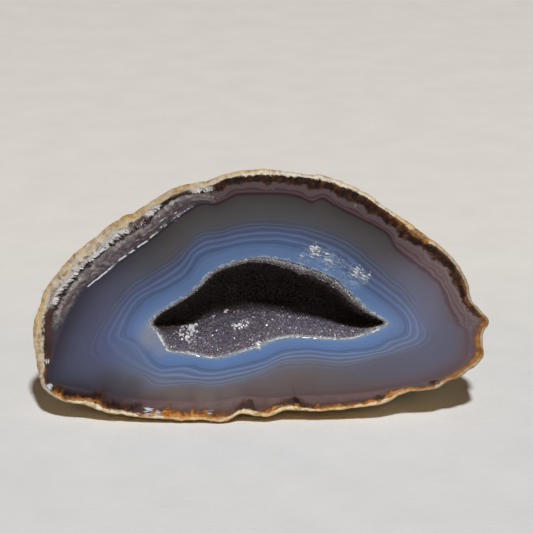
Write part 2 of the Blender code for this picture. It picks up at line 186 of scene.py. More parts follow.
RIM_TABLES = {
    "frost": [
        (114, 0.0), (117, 0.5), (119, 0.8), (122, 0.9), (125, 0.1), (136, 0.05), (138, 1.0),
        (142, 1.0), (144, 0.1), (150, 0.2), (152, 0.7), (158, 1.0), (174, 1.0), (178, 0.7),
        (180, 0.1), (184, 0.0),
    ],
    "dashes": [
        (126, 0.0), (128, 0.3), (137, 0.35), (139, 0.0), (141, 0.35), (147, 0.4), (148, 1.0),
        (155, 1.0), (156, 0.0), (157, 1.0), (158, 1.0), (159, 0.0), (160, 1.0), (162, 1.0),
        (163, 0.0), (165, 0.6), (166, 0.6), (167, 1.0), (173, 1.0), (174, 0.0),
    ],
    "dark": [
        (0, 1.0), (184, 1.0), (190, 1.1), (196, 1.05), (200, 1.15), (203, 1.7), (205, 2.0),
        (207, 1.6), (209, 1.1), (211, 1.55), (213, 1.3), (216, 1.25), (218, 0.7), (221, 0.2),
        (227, 0.3), (231, 0.45), (238, 0.1), (249, 0.15), (253, 0.85), (260, 1.05), (265, 0.2),
        (271, 0.4), (278, 0.75), (284, 1.0), (286, 1.9), (288, 1.0), (293, 0.7), (297, 0.15),
        (305, 0.5), (314, 0.6), (318, 0.3), (321, 1.1), (325, 0.15), (334, 0.2), (336, 1.4),
        (338, 0.2), (350, 0.1), (356, 0.0), (358, 1.0),
    ],
    "broken": [
        (112, 0.0), (124, 0.8), (130, 1.0), (178, 1.0), (183, 0.6), (187, 0.0),
    ],
    "gold": [
        (0, 0.45), (22, 0.5), (28, 0.9), (34, 0.8), (38, 0.1), (60, 0.12), (78, 0.2), (95, 0.55),
        (108, 0.35), (118, 0.25), (125, 0.5), (129, 1.0), (133, 0.35), (139, 0.4), (144, 0.95),
        (153, 0.9), (158, 0.35), (170, 0.4), (182, 0.75), (190, 0.6), (200, 0.5), (215, 0.7),
        (330, 0.65), (350, 0.8),
    ],
    "rust": [
        (0, 0.9), (20, 0.8), (27, 1.0), (34, 1.0), (40, 0.3), (60, 0.2), (75, 0.1), (100, 0.05),
        (138, 0.1), (141, 0.8), (144, 0.15), (190, 0.15), (198, 0.5), (202, 1.0), (207, 0.7),
        (214, 0.35), (222, 0.7), (231, 0.95), (240, 0.7), (247, 0.25), (262, 0.3), (270, 0.55),
        (285, 0.65), (292, 0.6), (302, 0.9), (312, 0.5), (322, 0.8), (345, 1.0), (355, 1.0),
    ],
}
# Directions and depths of the cusps
CUSPS = [
    (8.0, 0.22), (17.0, 0.25), (29.0, 0.42), (36.0, 0.2), (44.0, 0.4), (54.0, 0.34), (58.5, 0.3),
    (71.5, 0.42), (81.0, 0.12), (91.5, 0.45), (103.0, 0.15), (112.0, 0.3), (354.0, 0.2),
]
CUSP_WIDTH = 2.6
# No layer gets narrower than this, in millimetres
LEAST_MAUVE, LEAST_DARK, LEAST_RIND = 0.3, 0.8, 0.3
print("rows in the tables", {key: len(table) for key, table in RIM_TABLES.items()})

# %% [markdown]
# A traced loop is a list of corners. To be of use it has to become an even row of points with a
# direction that faces outward at each. To blend two loops, both are read along the same rays.

# %% Turn traced points into smooth loops
def smooth_step(value, low, high):
    """Rise from 0 at low to 1 at high along 3 s squared minus 2 s cubed."""
    s = np.clip((value - low) / (high - low), 0.0, 1.0)
    return s * s * (3.0 - 2.0 * s)


def closed_curve(points, count):
    """A smooth loop through the points, cut into count equal steps of length.

    Each piece is a cubic in s, and its slope at a point is half the chord of the neighbours.
    """
    p = np.array(points, dtype=float)
    s = np.linspace(0.0, 1.0, 12, endpoint=False)[:, None]
    before = np.roll(p, 1, axis=0)
    after = np.roll(p, -1, axis=0)
    later = np.roll(p, -2, axis=0)
    a = p[:, None, :]
    b = (after - before)[:, None, :] * 0.5
    c = (before - 2.5 * p + 2.0 * after - 0.5 * later)[:, None, :]
    d = (-0.5 * before + 1.5 * p - 1.5 * after + 0.5 * later)[:, None, :]
    fine = (a + b * s + c * s ** 2 + d * s ** 3).reshape(-1, 2)
    loop = np.vstack([fine, fine[:1]])
    run = np.concatenate([[0.0], np.cumsum(np.linalg.norm(np.diff(loop, axis=0), axis=1))])
    at = np.linspace(0.0, run[-1], count, endpoint=False)
    return np.stack([np.interp(at, run, loop[:, k]) for k in range(2)], axis=1)


def even_out(values, times):
    """Average each value of a closed ring with its neighbours, several times."""
    for _ in range(times):
        values = 0.5 * values + 0.25 * (np.roll(values, 1, axis=0) + np.roll(values, -1, axis=0))
    return values


def outward(curve):
    """Unit normals out of a clockwise loop: the chord between the neighbours, turned left."""
    along = np.roll(curve, -1, axis=0) - np.roll(curve, 1, axis=0)
    return unit(np.stack([-along[:, 1], along[:, 0]], axis=1))


def on_rays(points, rays):
    """Where the loop crosses each ray from the hollow's centre, read off radius by angle."""
    d = closed_curve(points, 2400) - HOLLOW_CENTRE
    angle = np.arctan2(d[:, 1], d[:, 0])
    order = np.argsort(angle)
    radius = np.interp(rays, angle[order], np.linalg.norm(d, axis=1)[order], period=2.0 * math.pi)
    return HOLLOW_CENTRE + radius[:, None] * np.stack([np.cos(rays), np.sin(rays)], axis=1)


def side_weight(curve, degrees, half_width):
    """1 in one direction from the face's centre, falling to 0 at half_width degrees from it."""
    d = curve - FACE_CENTRE
    turn = np.degrees(np.arctan2(d[:, 1], d[:, 0])) - degrees
    turn = (turn + 180.0) % 360.0 - 180.0
    return 1.0 - smooth_step(np.abs(turn), 0.35 * half_width, half_width)


outline = closed_curve(STONE_OUTLINE, AROUND)
gaps = np.linalg.norm(np.roll(outline, -1, axis=0) - outline, axis=1)
print("the face's edge is", round(float(gaps.sum()), 1), "mm long")

# %% [markdown]
# Every value of the rim is now worked out at every point of it. A width from the tables counts
# straight across the layers, but a ray meets them at a slant, so it is divided by the slant.

# %% Read the rim's values at every point
from_centre = outline - HOLLOW_CENTRE
ray_angles = np.arctan2(from_centre[:, 1], from_centre[:, 0])
ray = unit(from_centre)
rim_normal = unit(even_out(outward(outline), 64))
ledge = side_weight(outline, *LEDGE_SIDE)
left_side = side_weight(outline, *LEFT_SIDE)
upper_side = side_weight(outline, *UPPER_SIDE)
bulge = np.maximum(left_side, upper_side)
swell = SWELL[0] + SWELL[1] * left_side + SWELL[2] * upper_side

slant = np.sum(ray * rim_normal, axis=1)
turns, rind_widths, dark_widths = np.array(LAYER_WIDTHS).T
rind = np.interp(np.degrees(ray_angles), turns, rind_widths, period=360.0) / slant
dark = np.interp(np.degrees(ray_angles), turns, dark_widths, period=360.0) / slant


def by_direction(table):
    """Read a table of (degrees, value) at every point of the rim, straight between its rows."""
    turns, values = np.array(table, dtype=float).T
    return np.interp(np.degrees(ray_angles) % 360.0, turns, values, period=360.0)


cusp_turns, cusp_depths = np.array(CUSPS).T
apart = np.abs((np.degrees(ray_angles)[:, None] - cusp_turns + 180.0) % 360.0 - 180.0)
rim_values = {key: by_direction(table) for key, table in RIM_TABLES.items()}
rim_values["dip"] = np.sum(cusp_depths * np.exp(-apart / CUSP_WIDTH), axis=1) - 0.1
facing_down = smooth_step(-rim_normal[:, 1], 0.0, 0.6)
edge_drop = EDGE_BREAK * (1.0 - 0.9 * facing_down)
mauve = on_rays(MAUVE_OUTLINE, ray_angles)
room = np.linalg.norm(outline - mauve, axis=1)
dark = np.minimum(even_out(dark, 12), room - LEAST_MAUVE)
rind = np.clip(even_out(rind, 12), swell / slant + LEAST_RIND, dark - LEAST_DARK)
print("narrowest mauve zone", round(float((room - dark).min()), 2), "mm")

# %% [markdown]
# Rough stone needs noise that is the same on every run. Random values sit on the corners of a
# grid of cells and are blended between them, and finer grids are added at half the strength.
# The broad lumps of the back come from sums of plane waves instead, as in the solids.

# %% Make repeatable noise
CORNER_KEYS = np.array([374761393, 668265263, 2147483647])
SEED_KEY = 144665
MIX_KEY = 1274126177


def waves(points, wavelength, seed):
    """Smooth noise near -1 to 1: twelve plane waves summed in random directions."""
    rng = np.random.default_rng(seed)
    total = np.zeros(points.shape[:-1])
    for _ in range(12):
        direction = unit(rng.normal(size=3))
        length = wavelength * rng.uniform(0.7, 1.5)
        phase = rng.uniform(0.0, 2.0 * math.pi)
        total = total + np.sin(points @ direction * 2.0 * math.pi / length + phase)
    return total / math.sqrt(12.0)


def cell_noise(points, cell, seed):
    """Values from -1 to 1 at the corners of cubic cells, blended smoothly between them."""
    place = points / cell
    low = np.floor(place).astype(np.int64)
    part = place - low
    part = part * part * (3.0 - 2.0 * part)
    total = np.zeros(points.shape[:-1])
    for corner in range(8):
        step = np.array([corner & 1, (corner >> 1) & 1, (corner >> 2) & 1])
        key = (low + step) @ CORNER_KEYS + seed * SEED_KEY
        key = (key ^ (key >> 13)) * MIX_KEY
        value = ((key ^ (key >> 16)) & 65535) / 32767.5 - 1.0
        weight = np.prod(np.where(step == 1, part, 1.0 - part), axis=-1)
        total = total + value * weight
    return total


def rough_noise(points, cell, octaves, seed):
    """Cell noise at several sizes, each half the size and half the strength of the last."""
    total = np.zeros(points.shape[:-1])
    for k in range(octaves):
        total = total + cell_noise(points, cell / 2 ** k, seed + k) / 2 ** k
    return total


samples = rough_noise(np.arange(3000.0).reshape(-1, 3), 7.0, 3, 1)
print("rough noise runs from", round(samples.min(), 2), "to", round(samples.max(), 2))

# %% [markdown]
# The stone's skin is one closed grid, and each row of it is a ring. The back comes first. It is
# a rounded cap: the outline shrinks with a cosine while the depth grows with a sine. Just behind
# the edge it swells out a little past the face. Then lumps, ledges and pits push it in and out.

# %% Round the back and roughen it
BACK_ROWS = 108
# Wavelengths of the broad lumps, the fine ones, the ledges and the pits, as in the solids
BROAD_WAVE, FINE_WAVE, LEDGE_WAVE, PIT_WAVE = 26.0, 11.0, 19.0, 9.0
back_steps = np.linspace(0.0, 1.0, BACK_ROWS, endpoint=False)[:, None]


def rounded_back(outline, step):
    """Rings of the back: the outline shrinks with a cosine as the depth grows with a sine."""
    swell_depth = SWELL_DEPTH[0] + SWELL_DEPTH[1] * bulge
    front_depth = edge_drop + LEDGE_DROP * ledge
    reach = 1.0 - smooth_step(step, 0.0, SWELL_SHARE)
    angle = math.radians(90.0) * np.maximum(0.0, step - SWELL_SHARE) / (1.0 - SWELL_SHARE)
    depth = front_depth + (swell_depth - front_depth) * (1.0 - reach)
    depth = depth + (STONE_DEPTH - swell_depth) * np.sin(angle) ** BACK_POWERS[1]
    jags = EDGE_JAGS * rough_noise(with_depth(outline, np.zeros(len(outline))), 2.6, 3, 71)
    outline = outline + rim_normal * jags[:, None]
    narrow = np.cos(angle) ** BACK_POWERS[0]
    flat = FACE_CENTRE + (outline - FACE_CENTRE)[None] * narrow[..., None]
    flat = flat - rim_normal[None] * (swell * reach)[..., None]
    return with_depth(flat, depth)


def add_lumps(grid):
    """The solids' lumps, ledges and pits, with a finer crust of small bumps and dents."""
    centre = np.array([FACE_CENTRE[0], FACE_CENTRE[1], 4.0])
    away = unit(grid - centre)
    clear = smooth_step(to_world(grid)[..., 2] / MM, -1.0, 6.0)
    rise = smooth_step(grid[..., 2], 5.0, 17.0) * clear
    broad = waves(grid, BROAD_WAVE, 11)
    fine = waves(grid, FINE_WAVE, 12)
    step = np.tanh(5.0 * waves(grid, LEDGE_WAVE, 13))
    pit = smooth_step(waves(grid, PIT_WAVE, 14), 0.9, 1.7)
    height = LUMP_HEIGHT * (0.65 * broad + 0.3 * fine + 0.3 * step - 0.35) - PIT_DEPTH * pit
    small = BUMP_HEIGHT * rough_noise(grid, 5.0, 4, 21)
    dents = -DENT_DEPTH * smooth_step(rough_noise(grid, 3.4, 2, 31), 0.45, 1.0)
    return grid + away * (height * rise + (small + dents) * (0.25 + 0.75 * rise))[..., None]


back = add_lumps(rounded_back(outline, back_steps))
print("back has", BACK_ROWS, "rings and is", round(back[..., 2].max(), 1), "mm deep")

# %% [markdown]
# The face crosses the growth fronts one by one. A value called growth is kept for each ring: 0
# at the hollow's mouth, 1 and 2 at the strong lines, 3 where the mauve zone starts, 4 at the
# dark layer, 5 at the rind and 6 at the face's edge. All bands are painted by it. The ledge at
# the upper left, where a strip broke off, lies a little lower than the polish.

# %% Lay out the face
# Rings for each step of growth, from the edge inwards
FACE_ROWS = {6.0: 10, 5.0: 15, 4.0: 15, 3.0: 8, 2.0: 6, 1.0: 8}
FACE_GROWTH = np.concatenate([
    np.linspace(start, start - 1.0, rows, endpoint=False) for start, rows in FACE_ROWS.items()
])[1:]


def face_rings(growth, fronts):
    """Rings of the face: each lies between two growth fronts, a straight share of the way."""
    low = np.minimum(np.floor(growth).astype(int), len(fronts) - 2)
    share = (growth - low)[:, None, None]
    flat = fronts[low] * (1.0 - share) + fronts[low + 1] * share
    g = growth[:, None]
    slope = 0.55 * smooth_step(g, 3.0, 3.35) + 0.45 * smooth_step(g, 3.6, 6.0)
    depth = LEDGE_DROP * ledge * slope + edge_drop * smooth_step(g, 5.2 + 0.5 * facing_down, 6.0)
    rough = rough_noise(with_depth(flat, depth), 1.6, 3, 41)
    depth = depth + STRIP_ROUGHNESS * rough * ledge * smooth_step(g, 3.02, 3.3)
    at_rim = smooth_step(g, 5.1, 5.5) * (1.0 - 0.8 * facing_down)
    depth = depth + RIM_ROUGHNESS * (rough + 0.4) * at_rim
    return with_depth(flat, depth)


fronts = np.stack([
    on_rays(HOLLOW_OUTLINE, ray_angles),
    on_rays(INNER_LINE, ray_angles),
    on_rays(OUTER_LINE, ray_angles),
    mauve,
    outline - ray * dark[:, None],
    outline - ray * rind[:, None],
    back[0, :, :2],
])
face = face_rings(FACE_GROWTH, fronts)
print("face has", len(face), "rings between", len(fronts), "fronts")

# %% [markdown]
# The hollow is rounded the same way as the back, from its mouth down to one point. Crystals will
# stand on its wall, so the direction out of the wall is worked out as well. The growth value
# runs on: below 0 in the hollow, and past 6 on the back.

# %% Sink the hollow and stack all rings
HOLLOW_ROWS = 9
# Growth at the middle of the back and at the bottom of the hollow
BACK_GROWTH, FLOOR_GROWTH = 10.0, -1.0


def hollow_wall(mouth, step):
    """The hollow's wall: the mouth shrinks with a cosine as the depth grows with a sine."""
    angle = np.radians(90.0) * step
    out = np.cos(angle) ** HOLLOW_POWER
    depth = HOLLOW_DEPTH * np.sin(angle) ** HOLLOW_POWER * np.ones(mouth.shape[:-1])
    flat = HOLLOW_CENTRE + (mouth - HOLLOW_CENTRE) * out[..., None]
    return with_depth(flat, depth)


def hollow_normal(mouth, step):
    """Unit direction from the wall into the empty middle, from the wall's own slope."""
    spread = mouth - HOLLOW_CENTRE
    radius = np.linalg.norm(spread, axis=-1, keepdims=True)
    angle = np.radians(90.0) * step[..., None]
    flat = -spread / radius ** 2 * np.cos(angle) ** (2.0 - HOLLOW_POWER)
    down = -np.sin(angle) ** (2.0 - HOLLOW_POWER) / HOLLOW_DEPTH * np.ones(radius.shape)
    return unit(np.concatenate([flat, down], axis=-1))


wall_steps = np.linspace(0.0, 1.0, HOLLOW_ROWS, endpoint=False)[:, None]
wall = hollow_wall(np.broadcast_to(fronts[0], (HOLLOW_ROWS, AROUND, 2)), wall_steps)
stone_rows = np.concatenate([back[::-1], face, wall])
# The face's edge lies inside the widest outline, so growth is a little under 6 there
hidden = swell / slant / rind
back_growth = 6.0 - hidden * (1.0 - smooth_step(back_steps, 0.0, SWELL_SHARE))
back_growth = back_growth + (BACK_GROWTH - 6.0) * np.maximum(0.0, back_steps - SWELL_SHARE)
stone_growth = np.concatenate([
    back_growth[::-1],
    FACE_GROWTH[:, None] - hidden * np.maximum(0.0, FACE_GROWTH[:, None] - 5.0),
    np.broadcast_to(-wall_steps, (HOLLOW_ROWS, AROUND)),
])
back_pole = np.append(back[-1, :, :2].mean(axis=0), STONE_DEPTH)
hollow_pole = np.append(HOLLOW_CENTRE, HOLLOW_DEPTH)
print("stone rings", stone_rows.shape[0], "of", AROUND, "points")

# %% [markdown]
# A grid of rings becomes a mesh with four-sided faces, and each end closes on one point. The
# seam uses the same points again, so the skin is closed. If the volume comes out negative, the
# faces point inward and are turned over.

# %% Write the mesh builder
def ring_faces(rows, around):
    """Corner numbers of the quads between rings, and of the triangles that close both ends."""
    i = np.arange(rows - 1)[:, None] * around
    j = np.arange(around)[None, :]
    k = (j + 1) % around
    quads = np.stack([i + j, i + k, i + around + k, i + around + j], axis=-1).reshape(-1, 4)
    first, last = rows * around, rows * around + 1
    j, k = j[0], k[0]
    end = (rows - 1) * around
    start_fan = np.stack([k, j, np.full(around, first)], axis=-1)
    end_fan = np.stack([end + j, end + k, np.full(around, last)], axis=-1)
    return quads, np.concatenate([start_fan, end_fan])


def make_piece(name, points, quads, triangles, smooth, values):
    """A mesh object at the origin, in metres, facing outward, with named values per point."""
    world = to_world(points)
    world[:, 2] = np.maximum(world[:, 2], 0.0)
    split = np.concatenate([triangles, quads[:, :3], quads[:, [0, 2, 3]]])
    p, q, r = world[split[:, 0]], world[split[:, 1]], world[split[:, 2]]
    if np.einsum("ij,ij->", p, np.cross(q, r)) < 0.0:
        quads, triangles = quads[:, ::-1], triangles[:, ::-1]
    corners = np.concatenate([quads.ravel(), triangles.ravel()]).astype(np.int32)
    sizes = np.repeat([4, 3], [len(quads), len(triangles)])
    starts = (np.cumsum(sizes) - sizes).astype(np.int32)
    mesh = bpy.data.meshes.new(name)
    mesh.vertices.add(len(world))
    mesh.vertices.foreach_set("co", world.ravel())
    mesh.loops.add(len(corners))
    mesh.loops.foreach_set("vertex_index", corners)
    mesh.polygons.add(len(starts))
    mesh.polygons.foreach_set("loop_start", starts)
    mesh.update(calc_edges=True)
    mesh.polygons.foreach_set("use_smooth", smooth)
    for key, value in values.items():
        mesh.attributes.new(key, "FLOAT", "POINT").data.foreach_set("value", value.ravel())
    broken = mesh.validate()
    piece = bpy.data.objects.new(name, mesh)
    bpy.context.scene.collection.objects.link(piece)
    size = np.round(np.ptp(world, axis=0) / MM, 1)
    print(name, "triangles", len(split), "size in mm", size, "repaired" if broken else "sound")
    return piece


print("a grid of 3 rings of 8 points has", len(ring_faces(3, 8)[0]), "quads")

# %% [markdown]
# The stone goes in as one mesh. Its growth and the values of its rim are kept as attributes that
# the shader reads by name. A map of the way round and the growth is kept too, and the quads at
# the seam get 1 in place of 0, so that noise drawn along the rim runs on without a break.

# %% Build the stone
quads, triangles = ring_faces(len(stone_rows), AROUND)
stone_points = np.vstack([stone_rows.reshape(-1, 3), back_pole, hollow_pole])
growth = np.append(stone_growth, [BACK_GROWTH, FLOOR_GROWTH])
rim_attributes = {key: np.append(np.tile(value, len(stone_rows)), [value.mean(), 0.0])
                  for key, value in rim_values.items()}
stone = make_piece("agate_stone", stone_points, quads, triangles,
                   np.ones(len(quads) + len(triangles), dtype=bool),
                   {"growth": growth, **rim_attributes})

corner_points = np.empty(len(stone.data.loops), dtype=np.int32)
stone.data.loops.foreach_get("vertex_index", corner_points)
on_ring = corner_points < len(stone_rows) * AROUND
uv = np.stack([np.where(on_ring, corner_points % AROUND / AROUND, 0.5),
               growth[corner_points] / BACK_GROWTH], axis=1)
quad_turns = uv[:4 * len(quads), 0].reshape(-1, 4)
seam = np.ptp(quad_turns, axis=1) > 0.5
quad_turns[seam] = np.where(quad_turns[seam] < 0.5, 1.0, quad_turns[seam])
uv[:4 * len(quads), 0] = quad_turns.ravel()
stone.data.uv_layers.new(name="growth_map").data.foreach_set("uv", uv.ravel())
print("quads on the seam", int(seam.sum()))

# %% [markdown]
# The hollow is lined with a druse: thousands of small quartz points that grew inward from the
# wall and stopped when they touched. They stand on a bed that follows the wall. At the mouth the
# bed has a lip that ends just below the face, and it is thickest at the upper right.

# %% Make the bed of the crystals
SHELL_ROWS = 6
BED_ROWS = 20
# How far the lip lies below the face, and how far the crust's back sinks into the wall
LIP_BELOW = 0.32
CRUST_SINK = 0.06


def in_roof(points):
    """1 under the arch, where the roof is in the lamp's shade; 0 on the lit floor and near the
    mouth.
    """
    arch = 29.3 - 0.008 * (points[..., 0] - 3.5) ** 2
    return smooth_step(points[..., 1], arch - 2.6, arch + 2.6)


def crust_bed(mouth, step):
    """The bed that the crystals stand on, with a lip at the mouth that is thick at upper right."""
    wall = hollow_wall(mouth, step)
    thickness = 0.3 + 0.9 * smooth_step(step, 0.0, 0.3) * np.ones(mouth.shape[:-1])
    at_mouth = with_depth(mouth, np.zeros(mouth.shape[:-1]))
    lip = in_roof(mouth) * (0.15 + 1.25 * smooth_step(mouth[..., 0], -10.0, 12.0))
    lip = lip * (1.0 - smooth_step(mouth[..., 0], 24.0, 32.0))
    lip = (lip + 0.12) * (1.0 + 0.4 * rough_noise(at_mouth, 1.6, 3, 55))
    thickness = thickness + lip * (1.0 - smooth_step(step, 0.0, 0.25))
    lumps = 0.4 * rough_noise(wall, 6.0, 2, 51) * smooth_step(step, 0.03, 0.3)
    bed = wall + hollow_normal(mouth, step) * (thickness + lumps)[..., None]
    bed[..., 2] += 0.6 * lip * (1.0 - smooth_step(step, 0.0, 0.3))
    return bed


mouth = on_rays(HOLLOW_OUTLINE, np.linspace(math.pi, -math.pi, MOUTH_AROUND, endpoint=False))
mouth = closed_curve(mouth, MOUTH_AROUND)
shell_mouth = np.broadcast_to(mouth, (SHELL_ROWS, MOUTH_AROUND, 2))
shell_steps = np.linspace(1.0, 0.0, SHELL_ROWS + 1)[1:, None]
shell = hollow_wall(shell_mouth, shell_steps)
shell = shell - CRUST_SINK * hollow_normal(shell_mouth, shell_steps)
bed_steps = np.linspace(0.0, 1.0, BED_ROWS, endpoint=False)[:, None]
bed = crust_bed(np.broadcast_to(mouth, (BED_ROWS, MOUTH_AROUND, 2)), bed_steps)
crust_rows = np.concatenate([shell, bed])
crust_rows[..., 2] = np.maximum(crust_rows[..., 2], LIP_BELOW)
shell_pole = np.append(HOLLOW_CENTRE, HOLLOW_DEPTH + CRUST_SINK)
bed_points = np.vstack([crust_rows.reshape(-1, 3), shell_pole, bed[-1].mean(axis=0)])
bed_quads, bed_fans = ring_faces(len(crust_rows), MOUTH_AROUND)
# Painted shade: the bed is made dark under the arch, more so deeper in, where the roof hides it
# from the lamp.
bed_painted_shade = in_roof(bed_points) * (0.6 + 0.4 * smooth_step(bed_points[:, 2], 0.3, 4.5))
on_bed = np.arange(len(bed_points)) >= SHELL_ROWS * MOUTH_AROUND
bed_values = np.stack([
    np.where(on_bed, 0.0, 0.3), np.where(on_bed, bed_painted_shade, 0.0), np.full(len(bed_points), 0.2),
])
print("bed has", len(crust_rows), "rings of", MOUTH_AROUND, "points")

# %% [markdown]
# Each crystal shows its pointed tip. The places are spread along a spiral with equal area to
# each, tilted at random and made in one array, with no loop over them. The saw cut the outermost
# ones flush with the face.

# %% Spread and shape crystals
def spread_over(mouth, count, rng):
    """Places on the bed, a mouth point and a step each: equal area to each, twice that above."""
    edges = np.linspace(0.0, 1.0, 52)
    grid = crust_bed(np.broadcast_to(mouth, (len(edges), len(mouth), 2)), edges[:, None])
    around = np.roll(grid, -1, axis=1) - grid
    onward = grid[1:] - grid[:-1]
    area = np.linalg.norm(np.cross(around[:-1], onward), axis=-1)
    area = area * (1.0 - 0.5 * in_roof(grid[:-1]))
    run = np.concatenate([[0.0], np.cumsum(area.ravel())])
    place = (np.arange(count) + 0.5) / count * run[-1]
    cell = np.clip(np.searchsorted(run, place) - 1, 0, area.size - 1)
    part = (place - run[cell]) / area.ravel()[cell] + rng.uniform(-0.5, 0.5, count)
    row, column = cell // len(mouth), cell % len(mouth)
    step = np.clip(edges[row] + rng.uniform(0.0, 1.0, count) * edges[1], 0.004, 0.999)
    edge = mouth[column] + (mouth[(column + 1) % len(mouth)] - mouth[column]) * part[:, None]
    return edge, step


def crystal_tips(centre, axis, radius, sides, values, rng):
    """Corners of closed double pyramids: a tip, a ring of corners and a hidden root each."""
    count = len(centre)
    axis = unit(axis)
    side = unit(np.cross(axis, rng.normal(size=(count, 3))))
    other = np.cross(axis, side)
    turn = 2.0 * math.pi * np.arange(sides)[None, :, None] / sides
    ring = side[:, None] * np.cos(turn) + other[:, None] * np.sin(turn)
    lift = (axis * radius[:, None] * 0.25)[:, None]
    ring = centre[:, None] + ring * radius[:, None, None] + lift
    tip = centre + axis * (radius * rng.uniform(1.1, 1.7, count))[:, None]
    root = centre - axis * (radius * 0.9)[:, None]
    corners = np.concatenate([tip[:, None], ring, root[:, None]], axis=1)
    corners[..., 2] = np.maximum(corners[..., 2], 0.02)

    k = np.arange(sides)
    upper = np.stack([np.zeros(sides, dtype=int), 1 + k, 1 + (k + 1) % sides], axis=-1)
    lower = np.stack([np.full(sides, sides + 1), 1 + (k + 1) % sides, 1 + k], axis=-1)
    starts = (sides + 2) * np.arange(count)[:, None, None]
    faces = (starts + np.concatenate([upper, lower])[None]).reshape(-1, 3)
    return corners.reshape(-1, 3), faces, np.repeat(values, sides + 2, axis=1)


one = crystal_tips(np.zeros((1, 3)), np.array([[0.0, 0.0, -1.0]]), np.ones(1), 6,
                   np.zeros((3, 1)), np.random.default_rng(1))
print("a crystal of six sides has", len(one[0]), "corners and", len(one[1]), "faces")

# %% [markdown]
# Large six-sided and small three-sided crystals cover the bed, and the smallest stand on the
# lip. Each keeps three values: how white it is, with a painted glow near the mouth under the
# arch, how much painted shade it takes under the arch, and a tint of its own. A few patches on
# the floor are frosted white, partly as painted glints.

# %% Grow the crust
# How many crystals of each kind, and their half width
LARGE_CRYSTALS, LARGE_RADIUS = 4800, 0.22
SMALL_CRYSTALS, SMALL_RADIUS = 17000, 0.16
RIM_CRYSTALS, RIM_RADIUS = 3800, 0.15
# Place on the face, half width, half height and share of white crystals, partly painted glints
WHITE_SPOTS = [
    (-19.4, 22.9, 2.4, 2.3, 0.45), (-18.0, 24.6, 1.1, 0.5, 0.8), (-6.7, 24.7, 1.25, 0.36, 0.95),
    (-9.3, 28.6, 0.4, 0.5, 0.9), (-0.4, 20.0, 0.9, 0.8, 0.8), (-11.5, 26.8, 2.0, 0.9, 0.1),
]


def lining_crystals(mouth, count, sides, size, seed):
    """Crystals all over the bed: pale at the mouth and in the white spots, with painted shade and
    a painted glow under the arch.
    """
    rng = np.random.default_rng(seed)
    edge, step = spread_over(mouth, count, rng)
    centre = crust_bed(edge, step)
    radius = size * np.exp(rng.normal(0.0, 0.28, count))
    radius = radius * (0.8 + 0.4 * smooth_step(step, 0.0, 0.5))
    depth = centre[:, 2] + rng.normal(0.0, 0.12, count)
    white = (1.0 - smooth_step(depth, 0.1, 0.5)) * rng.uniform(0.1, 0.8, count)
    clump = 0.5 + 0.5 * rough_noise(centre, 0.7, 2, 52)
    # The white spots are partly painted glints: crystals made white where the crust sparkles.
    for x, b, width, height, share in WHITE_SPOTS:
        away = np.hypot((centre[:, 0] - x) / width, (centre[:, 1] - b) / height)
        inside = (away < 1.0) & (clump > 1.0 - share)
        white = np.where(inside, 1.0, white)
        radius = np.where(inside, radius * 1.35, radius)
    # Painted shade: under the arch, the deeper in, the darker the crystals, where the roof hides
    # them from the lamp.
    dusk = in_roof(centre) * smooth_step(depth, 0.3, 4.5)
    # Painted glow: under the arch near the mouth, most at the right, crystals are made pale as if
    # light shone through the crust.
    to_right = smooth_step(centre[:, 0], -8.0, 14.0)
    painted_glow = in_roof(centre) * (1.0 - smooth_step(depth, 0.5 + 1.5 * to_right, 3.0 + 6.0 * to_right))
    painted_glow = painted_glow * (0.4 + 0.6 * to_right) * rng.uniform(0.2, 1.0, count)
    # The white value holds both the truly white crystals and the painted glow.
    values = np.stack([np.maximum(white, painted_glow), dusk, rng.uniform(0.0, 1.0, count)])
    axis = hollow_normal(edge, step) + rng.normal(0.0, 0.3, (count, 3))
    return crystal_tips(centre, axis, radius, sides, values, rng)


def rim_crystals(mouth, count, size, seed):
    """Small crystals on the sawn lip, palest at the mouth, with painted shade at its inner edge
    above.
    """
    rng = np.random.default_rng(seed)
    edge = mouth[rng.integers(0, len(mouth), count)]
    inner = crust_bed(edge, np.zeros(count))
    share = rng.uniform(0.0, 1.1, count)
    centre = with_depth(edge, np.zeros(count))
    centre = centre + (inner - centre) * share[:, None]
    centre[:, :2] += rng.normal(0.0, 0.12, (count, 2))
    centre[:, 2] = rng.uniform(0.4, 1.0, count) * LIP_BELOW + 0.9 * share * inner[:, 2]
    axis = np.array([0.0, 0.0, -1.0]) + rng.normal(0.0, 0.55, (count, 3))
    white = (1.0 - 0.7 * share) * rng.uniform(0.15, 1.2, count)
    # Painted shade at the lip's inner edge under the arch.
    dusk = in_roof(centre) * smooth_step(share + rng.normal(0.0, 0.2, count), 0.2, 1.05)
    values = np.stack([np.clip(white, 0.0, 1.0), 0.85 * dusk, rng.uniform(0.0, 1.0, count)])
    radius = size * np.exp(rng.normal(0.0, 0.3, count))
    return crystal_tips(centre, axis, radius, 3, values, rng)


parts = [
    (bed_points, bed_fans, bed_values),
    lining_crystals(mouth, LARGE_CRYSTALS, 6, LARGE_RADIUS, 61),
    lining_crystals(mouth, SMALL_CRYSTALS, 3, SMALL_RADIUS, 62),
    rim_crystals(mouth, RIM_CRYSTALS, RIM_RADIUS, 63),
]
starts = np.cumsum([0] + [len(points) for points, _, _ in parts])
crust_points = np.vstack([points for points, _, _ in parts])
crust_faces = np.concatenate([faces + start for (_, faces, _), start in zip(parts, starts)])
white, dusk, tint = np.concatenate([values for _, _, values in parts], axis=1)
smooth = np.arange(len(bed_quads) + len(crust_faces)) < len(bed_quads) + len(bed_fans)
crust = make_piece("crystal_crust", crust_points, bed_quads, crust_faces, smooth,
                   {"white": white, "dusk": dusk, "tint": tint})
print("crystals", LARGE_CRYSTALS + SMALL_CRYSTALS + RIM_CRYSTALS)

# %% [markdown]
# Materials are wired from a few small steps: sums, blends, noise and colour ramps. Each plus or
# times sign takes a node of its own. So that a sum can still be read as one, a small class stands
# for a value on the surface, and adds the node when it meets a sign.

